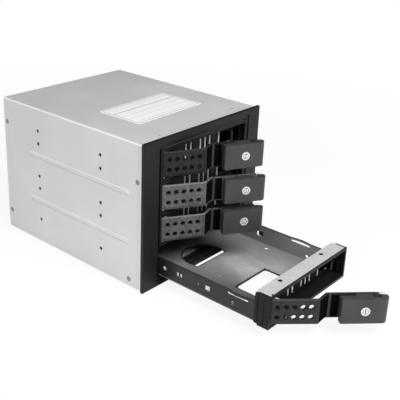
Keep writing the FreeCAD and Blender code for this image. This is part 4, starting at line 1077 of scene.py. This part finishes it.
def eased(node: str, finish: Material, width: float) -> None:
    """Stand a copy of a CAD node with eased edges in for it.

    Args:
        node: The CAD node.
        finish: The copy's material.
        width: How wide the eased edges are, in metres.
    """
    shape = merged(node)
    sharp = [edge for edge in shape.edges
             if len(edge.link_faces) == 2 and edge.calc_face_angle(0.0) > SHARP_TURN]
    bevelled(shape, sharp, width)
    piece = as_object(shape, f"{node}_eased", finish)
    piece.modifiers.new("even_shading", "WEIGHTED_NORMAL").keep_sharp = True
    stand_in(piece, node)


@dataclass(frozen=True)
class CrossRecess:
    """A cross recess in each head of a node of screws.

    Ends holds the ends of the node's box where heads lie, -1 or 1, and arm is half the cross's length. A
    head's flat face lies within flat of the box's end, has more than few sides and looks along the axis by
    at least facing. Arms keep their full length where their slant is below arm_slant, and waist_share of it
    between them.
    """

    axis: Axis
    ends: tuple[int, ...]
    arm: float
    ease: float = 0.1 * MM
    ring: float = 0.25 * MM
    flat: float = 0.02 * MM
    few: int = 8
    facing: float = 0.999
    arm_slant: float = 0.3
    waist_share: float = 0.36
    taper: float = 0.7
    depth_share: float = 0.8

    def caps(self, shape: BMesh, end: int, limit: float) -> list[BMFace]:
        """Find the heads' flat faces.

        Args:
            shape: The screws.
            end: The end that the faces look to.
            limit: Where the box ends.

        Returns:
            The faces.
        """
        along = self.axis.value
        return [face for face in shape.faces
                if abs(face.calc_center_median()[along] - limit) < self.flat
                and face.normal[along] * end > self.facing and len(face.verts) > self.few]

    def sink(self, shape: BMesh, face: BMFace, end: int) -> None:
        """Sink a cross into one head.

        Args:
            shape: The screws.
            face: The head's flat face.
            end: The end that it looks to.
        """
        along = self.axis.value
        bmesh.ops.inset_individual(shape, faces=[face], thickness=self.ring, depth=0.0)
        middle = face.calc_center_median()
        for vert in face.verts:
            out = vert.co - middle
            out[along] = 0.0
            _, short, long = sorted(abs(part) for part in out)
            share = 1.0 if short < self.arm_slant * long else self.waist_share
            vert.co = middle + out.normalized() * self.arm * share
        bmesh.ops.inset_individual(shape, faces=[face], thickness=0.0, depth=0.0)
        for vert in face.verts:
            vert.co = middle + (vert.co - middle) * self.taper
            vert.co[along] -= end * self.depth_share * self.arm

    def cut(self, node: str, finish: Material) -> None:
        """Stand a copy of the screws, with a cross in each head, in for their node.

        Args:
            node: The CAD node, one solid to each screw.
            finish: The copy's material.
        """
        shape = merged(node)
        low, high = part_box(node)
        for end in self.ends:
            limit = (low, high)[end > 0][self.axis.value]
            rims = dict.fromkeys(edge for face in self.caps(shape, end, limit) for edge in face.edges)
            bevelled(shape, list(rims), self.ease, clamp=True)
            shape.faces.ensure_lookup_table()
            for face in self.caps(shape, end, limit):
                self.sink(shape, face, end)
        stand_in(as_object(shape, f"{node}_recessed", finish), node)


def dress(finish: Material, *nodes: str) -> None:
    """Give the CAD's own meshes a finish.

    Args:
        finish: The material.
        nodes: The CAD nodes.
    """
    for node in nodes:
        target = frame["nodes"][node]
        if not target.material_slots:
            target.data.materials.append(finish)
        for slot in target.material_slots:
            slot.material = finish


@dataclass
class SteelBody:
    """The folded steel shell with its floor, rear panel, screws and blank label."""

    label_middle: Pair = (1.3 * MM, -25.7 * MM)
    label_wide: float = 82.5 * MM
    label_high: float = 47.0 * MM
    label_turn: float = math.radians(1.6)
    label_thick: float = 0.1 * MM
    label_corner: float = 2.0 * MM
    screw_cross: float = 0.95 * MM
    rib_heights: Pair = (40.0 * MM, 83.0 * MM)
    rib_ends: Pair = (-73.0 * MM, 54.0 * MM)

    def build(self, finishes: Finishes) -> None:
        """Dress the shell, its floor and rear panel, and add what lies on them.

        Args:
            finishes: The materials by name.
        """
        dress(finishes["steel"], "body_shell", "bottom_plate", "rear_panel")
        CrossRecess(Axis.X, (-1, 1), self.screw_cross).cut("body_screws", finishes["screw"])
        self.label()
        log.info("steel body, its screws and blank label")

    def label(self) -> None:
        """Lay the blank label on the top, as a solid film."""
        shape = bmesh.new()
        bmesh.ops.create_grid(shape, x_segments=1, y_segments=1, size=0.5)
        bmesh.ops.scale(shape, vec=(self.label_wide, self.label_high, 1), verts=shape.verts)
        bevelled(shape, list(shape.verts), self.label_corner, segments=6, affect="VERTICES")
        bmesh.ops.solidify(shape, geom=list(shape.faces), thickness=-self.label_thick)
        bmesh.ops.recalc_face_normals(shape, faces=list(shape.faces))
        bmesh.ops.rotate(shape, matrix=Matrix.Rotation(self.label_turn, 3, "Z"), verts=shape.verts)
        low = min(vert.co.z for vert in shape.verts)
        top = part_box("body_shell")[1][2]
        bmesh.ops.translate(shape, vec=(*self.label_middle, top - low), verts=shape.verts)
        film = LabelFilm(self.label_middle, self.label_wide, self.label_high, self.label_turn).make()
        piece = as_object(shape, "blank_label", film, smooth=False)
        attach(piece, body_of("body_shell"))


@dataclass
class FrontBezel:
    """The moulded front plate and the guides behind it."""

    ease: float = 0.25 * MM

    def build(self, finishes: Finishes) -> None:
        """Ease the bezel's edges and dress the guides.

        Args:
            finishes: The materials by name.
        """
        eased("front_bezel", finishes["bezel"], self.ease)
        dress(finishes["guide"], "guide_rail_left", "guide_rail_right")
        log.info("bezel and guides")


@dataclass
class Numbered:
    """A sub-assembly that the cage holds four of."""

    number: int

    def named(self, kind: str) -> str:
        """Return the name of its node or finish of a kind."""
        return f"{kind}_{self.number}"


@dataclass
class Tray(Numbered):
    """One drive tray with its pan, frame, bracket and light pipes.

    The shade lip is the depth of the painted shade along the bracket's front edge. Bars stand in the front's
    air slots, and a strip lies behind the near wall's leaf spring, as bright stand-ins for highlights.
    """

    shade_lip: float
    sheet_ease: float = 0.12 * MM
    plastic_ease: float = 0.2 * MM
    floor_above: float = 1.3 * MM
    hole_spread: float = 58.5 * MM
    hole_inset: float = 9.6 * MM
    pan_half: float = 54.0 * MM
    bar_ease: float = 0.1 * MM
    bar_places: tuple = (-11.6 * MM, -5.4 * MM, 7.0 * MM, 13.2 * MM, 19.4 * MM, 31.8 * MM)
    bar_size: tuple = (1.5 * MM, 0.4 * MM, 16.4 * MM)
    bar_behind: float = 12.3 * MM
    strip_middle: float = 30.0 * MM
    strip_size: tuple = (0.35 * MM, 19.4 * MM, 1.6 * MM)
    strip_drop: float = 2.85 * MM

    def build(self, finishes: Finishes) -> None:
        """Dress the tray's pieces.

        Args:
            finishes: The materials by name.
        """
        low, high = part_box(self.named("tray_pan"))
        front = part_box(self.named("tray_frame"))[0][1]
        paint = PanPaint(self.named("pan_paint"), low[2] + self.floor_above, high[2], front).make()
        holes = tuple((side * self.hole_spread / 2, front + self.hole_inset) for side in (-1, 1))
        zinc = SpeckledZinc(self.named("bracket_zinc"), front + self.shade_lip, holes).make()
        eased(self.named("tray_pan"), paint, self.sheet_ease)
        eased(self.named("tray_frame"), finishes["frame"], self.plastic_ease)
        eased(self.named("tray_bracket"), zinc, self.sheet_ease)
        dress(finishes["pipe"], self.named("light_pipes"))
        dress(finishes["pin"], self.named("hinge_pin"))
        self.bars(front, high[2], finishes["bar"])
        log.info("tray %d", self.number)

    def bars(self, front: float, wall_top: float, finish: Material) -> None:
        """Stand a bright bar in each air slot, and lay a bright strip behind the near wall's leaf spring, as
        stand-ins for the highlights seen through them.

        Args:
            front: The y of the tray's front face.
            wall_top: The z of the pan's upper rim.
            finish: Their material.
        """
        low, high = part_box(self.named("tray_frame"))
        middle = (low[2] + high[2]) / 2
        blocks = [((x, front + self.bar_behind, middle), self.bar_size) for x in self.bar_places]
        strip = (-self.pan_half + self.strip_size[0], front + self.strip_middle, wall_top - self.strip_drop)
        shape = bmesh.new()
        for place, size in (*blocks, (strip, self.strip_size)):
            block = bmesh.ops.create_cube(shape, size=1.0)["verts"]
            bmesh.ops.scale(shape, vec=size, verts=block)
            bmesh.ops.translate(shape, vec=place, verts=block)
        bevelled(shape, list(shape.edges), self.bar_ease)
        piece = as_object(shape, self.named("bright_bars"), finish)
        bracket = self.named("tray_bracket")
        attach(piece, body_of(bracket))


@dataclass
class Lever(Numbered):
    """One lever arm with its latch block and lock; level is its plastic's display level, which differs from
    lever to lever as painted light and shade, and latch_pin is its second pin's place when closed.
    """

    level: float
    ease: float = 0.3 * MM
    lock_ease: float = 0.15 * MM
    lock_head: float = 0.6 * MM
    latch_pin: Pair = (79.9 * MM, 4.1 * MM)

    def build(self, finishes: Finishes) -> None:
        """Dress the lever's pieces.

        Args:
            finishes: The materials by name.
        """
        hinge = self.hinge()
        height = tuple(corner[2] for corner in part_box(self.named("lever_arm")))
        plastic = LeverPlastic(self.named("lever_plastic"), self.level, hinge, height).make()
        nickel = LockNickel(self.named("lock_nickel"), self.lock_middle(hinge), hinge.facing()).make()
        eased(self.named("lever_arm"), plastic, self.ease)
        eased(self.named("latch_block"), finishes["block"], self.ease)
        eased(self.named("lock_cylinder"), nickel, self.lock_ease)
        dress(finishes["pin"], self.named("latch_pin"))
        log.info("lever %d", self.number)

    def middle(self, kind: str) -> Vector:
        """Return the middle of a node's box."""
        low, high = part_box(self.named(kind))
        return (Vector(low) + Vector(high)) / 2

    def hinge(self) -> Hinge:
        """Work out the open angle from the lever's two pins.

        Returns:
            The hinge.
        """
        spot = self.middle("hinge_pin")
        reach = self.middle("latch_pin") - spot
        turn = math.atan2(self.latch_pin[1], self.latch_pin[0]) - math.atan2(reach.y, reach.x)
        return Hinge(spot, turn)

    def lock_middle(self, hinge: Hinge) -> Triple:
        """Find a point on the lock's axis.

        Args:
            hinge: The lever's hinge.

        Returns:
            The middle of the lock's head.
        """
        shape = merged(self.named("lock_cylinder"))
        depths = [(hinge.local(vert.co.x, vert.co.y)[1], vert.co.copy()) for vert in shape.verts]
        shape.free()
        front = min(depth for depth, _ in depths)
        head = [spot for depth, spot in depths if depth < front + self.lock_head]
        low, high = (Vector(pick(spot[axis] for spot in head) for axis in range(3)) for pick in (min, max))
        return tuple((low + high) / 2)


@dataclass
class Rear:
    """The backplane board with its connectors, and the fan."""

    screw_cross: float = 1.3 * MM

    def build(self, finishes: Finishes) -> None:
        """Dress the rear pieces.

        Args:
            finishes: The materials by name.
        """
        dress(finishes["board"], "backplane_board")
        dress(finishes["socket"], "drive_sockets", "data_ports")
        dress(finishes["inlet"], "power_inlets")
        dress(finishes["pin"], "board_standoffs")
        dress(finishes["fan"], "fan_frame", "fan_rotor")
        dress(finishes["guard"], "fan_guard")
        CrossRecess(Axis.Y, (1,), self.screw_cross).cut("fan_screws", finishes["screw"])
        log.info("rear")


@dataclass(frozen=True)
class Lamp:
    """A square soft lamp aimed at the cage: its place and side in metres, and its power in watts."""

    name: str
    spot: Triple
    power: float
    side: float
    aim: Triple = (0.0, -0.06, 0.05)

    def stand(self) -> None:
        """Add the lamp to the scene."""
        data = bpy.data.lights.new(self.name, "AREA")
        data.energy, data.size = self.power, self.side
        lamp = bpy.data.objects.new(self.name, data)
        lamp.location = self.spot
        lamp.rotation_euler = (Vector(self.aim) - Vector(self.spot)).to_track_quat("-Z", "Y").to_euler()
        bpy.context.scene.collection.objects.link(lamp)


@dataclass
class Studio:
    """A pale floor, soft lamps, a white surround and the camera; angles are in degrees."""

    floor_height: float = -1.35 * MM
    floor_half: float = 12.0
    floor_colour: Colour = (0.86, 0.86, 0.86, 1)
    shadow_ends: Pair = (0.3, 0.7)
    shadow_glow: float = 0.9
    dim: Colour = (0.06, 0.06, 0.061, 1)
    lamps: tuple = (Lamp("left", (-1.5, 0.1, 0.5), 11.3, 1.2), Lamp("over", (-0.1, -0.83, 0.97), 17.4, 0.6),
                    Lamp("right_fill", (1.6, -0.2, 0.3), 7, 0.9), Lamp("rear_fill", (-0.3, 1.7, 0.4), 7, 0.9))
    azimuth: float = -49.466
    elevation: float = 21.336
    roll: float = 1.971
    eye: Triple = (-0.454822, -0.455100, 0.323237)
    focal: float = 747.226 / 400 * 36
    shift: Pair = (0.04, -0.10)

    def surround(self) -> None:
        """Light the room softly, and show it white to the camera and through clear plastic."""
        sky = Shader("studio", world=True)
        back = sky.node("Background", None, Color=sky.blend(self.dim, WHITE, sky.seen()))
        bpy.context.scene.world = sky.end(back)

    def floor(self) -> None:
        """Lay the floor, nearly white near the cage so that its shadow shows, and white further off."""
        shape = bmesh.new()
        bmesh.ops.create_grid(shape, x_segments=1, y_segments=1, size=self.floor_half)
        bmesh.ops.translate(shape, vec=(0, 0, self.floor_height), verts=shape.verts)
        sh = Shader("studio_floor")
        x, y, _ = sh.axes()
        glow = sh.spread(sh.away(x, y, (0.0, 0.0)), *self.shadow_ends, self.shadow_glow, 1.0)
        sh.end(sh.node("BsdfDiffuse", None, Color=self.floor_colour))
        sh.cover(sh.node("Emission", None, Color=WHITE, Strength=1.0), sh.seen() * glow)
        as_object(shape, "studio_floor", sh.owner, smooth=False)

    def camera(self) -> None:
        """Set the camera at the photograph's angle."""
        turn, rise = math.radians(self.azimuth), math.radians(self.elevation)
        back = Vector((math.sin(turn) * math.cos(rise), -math.cos(turn) * math.cos(rise), math.sin(rise)))
        data = bpy.data.cameras.new("camera")
        data.lens = self.focal
        data.shift_x, data.shift_y = self.shift
        camera = bpy.data.objects.new("camera", data)
        camera.location = self.eye
        aim = (-back).to_track_quat("-Z", "Y") @ Quaternion((0, 0, 1), math.radians(self.roll))
        camera.rotation_euler = aim.to_euler()
        bpy.context.scene.collection.objects.link(camera)
        bpy.context.scene.camera = camera

    def build(self) -> None:
        """Set up the studio."""
        self.surround()
        self.floor()
        for lamp in self.lamps:
            lamp.stand()
        self.camera()
        bpy.context.scene.view_settings.view_transform = "Standard"
        log.info("studio")


def main() -> None:
    """Build every sub-assembly in order."""
    finishes = {
        "steel": SheetSteel(SteelBody.rib_heights, SteelBody.rib_ends).make(),
        "bezel": Moulded("bezel_plastic", 24, shine=0.25).make(),
        "guide": Moulded("guide_plastic", 16, shine=0.2).make(),
        "frame": Moulded("tray_plastic", 20, shine=0.2).make(),
        "block": Moulded("latch_plastic", 56, shine=0.45).make(),
        "fan": Moulded("fan_plastic", 38, rough=0.4).make(),
        "guard": Brushed("guard_steel", 200).make(),
        # near-white pieces that stand in for highlights in the trays' slots
        "bar": Plain("highlight_white", 250, rough=0.35, metal=0.2).make(),
        "pin": Plain("pin_steel", 190, rough=0.25, metal=1.0).make(),
        "screw": Plain("screw_steel", 150, rough=0.4, metal=0.5).make(),
        "pipe": ClearPipe().make(),
        "board": BoardMask().make(),
        "socket": Plain("socket_plastic", 34, rough=0.45).make(),
        "inlet": Plain("inlet_plastic", 214, rough=0.45, warm=0.04).make(),
    }
    Studio().build()
    SteelBody().build(finishes)
    FrontBezel().build(finishes)
    for number, level, shade_lip in BAYS:
        Tray(number, shade_lip).build(finishes)
        Lever(number, level).build(finishes)
    Rear().build(finishes)


if __name__ == "__main__":
    main()
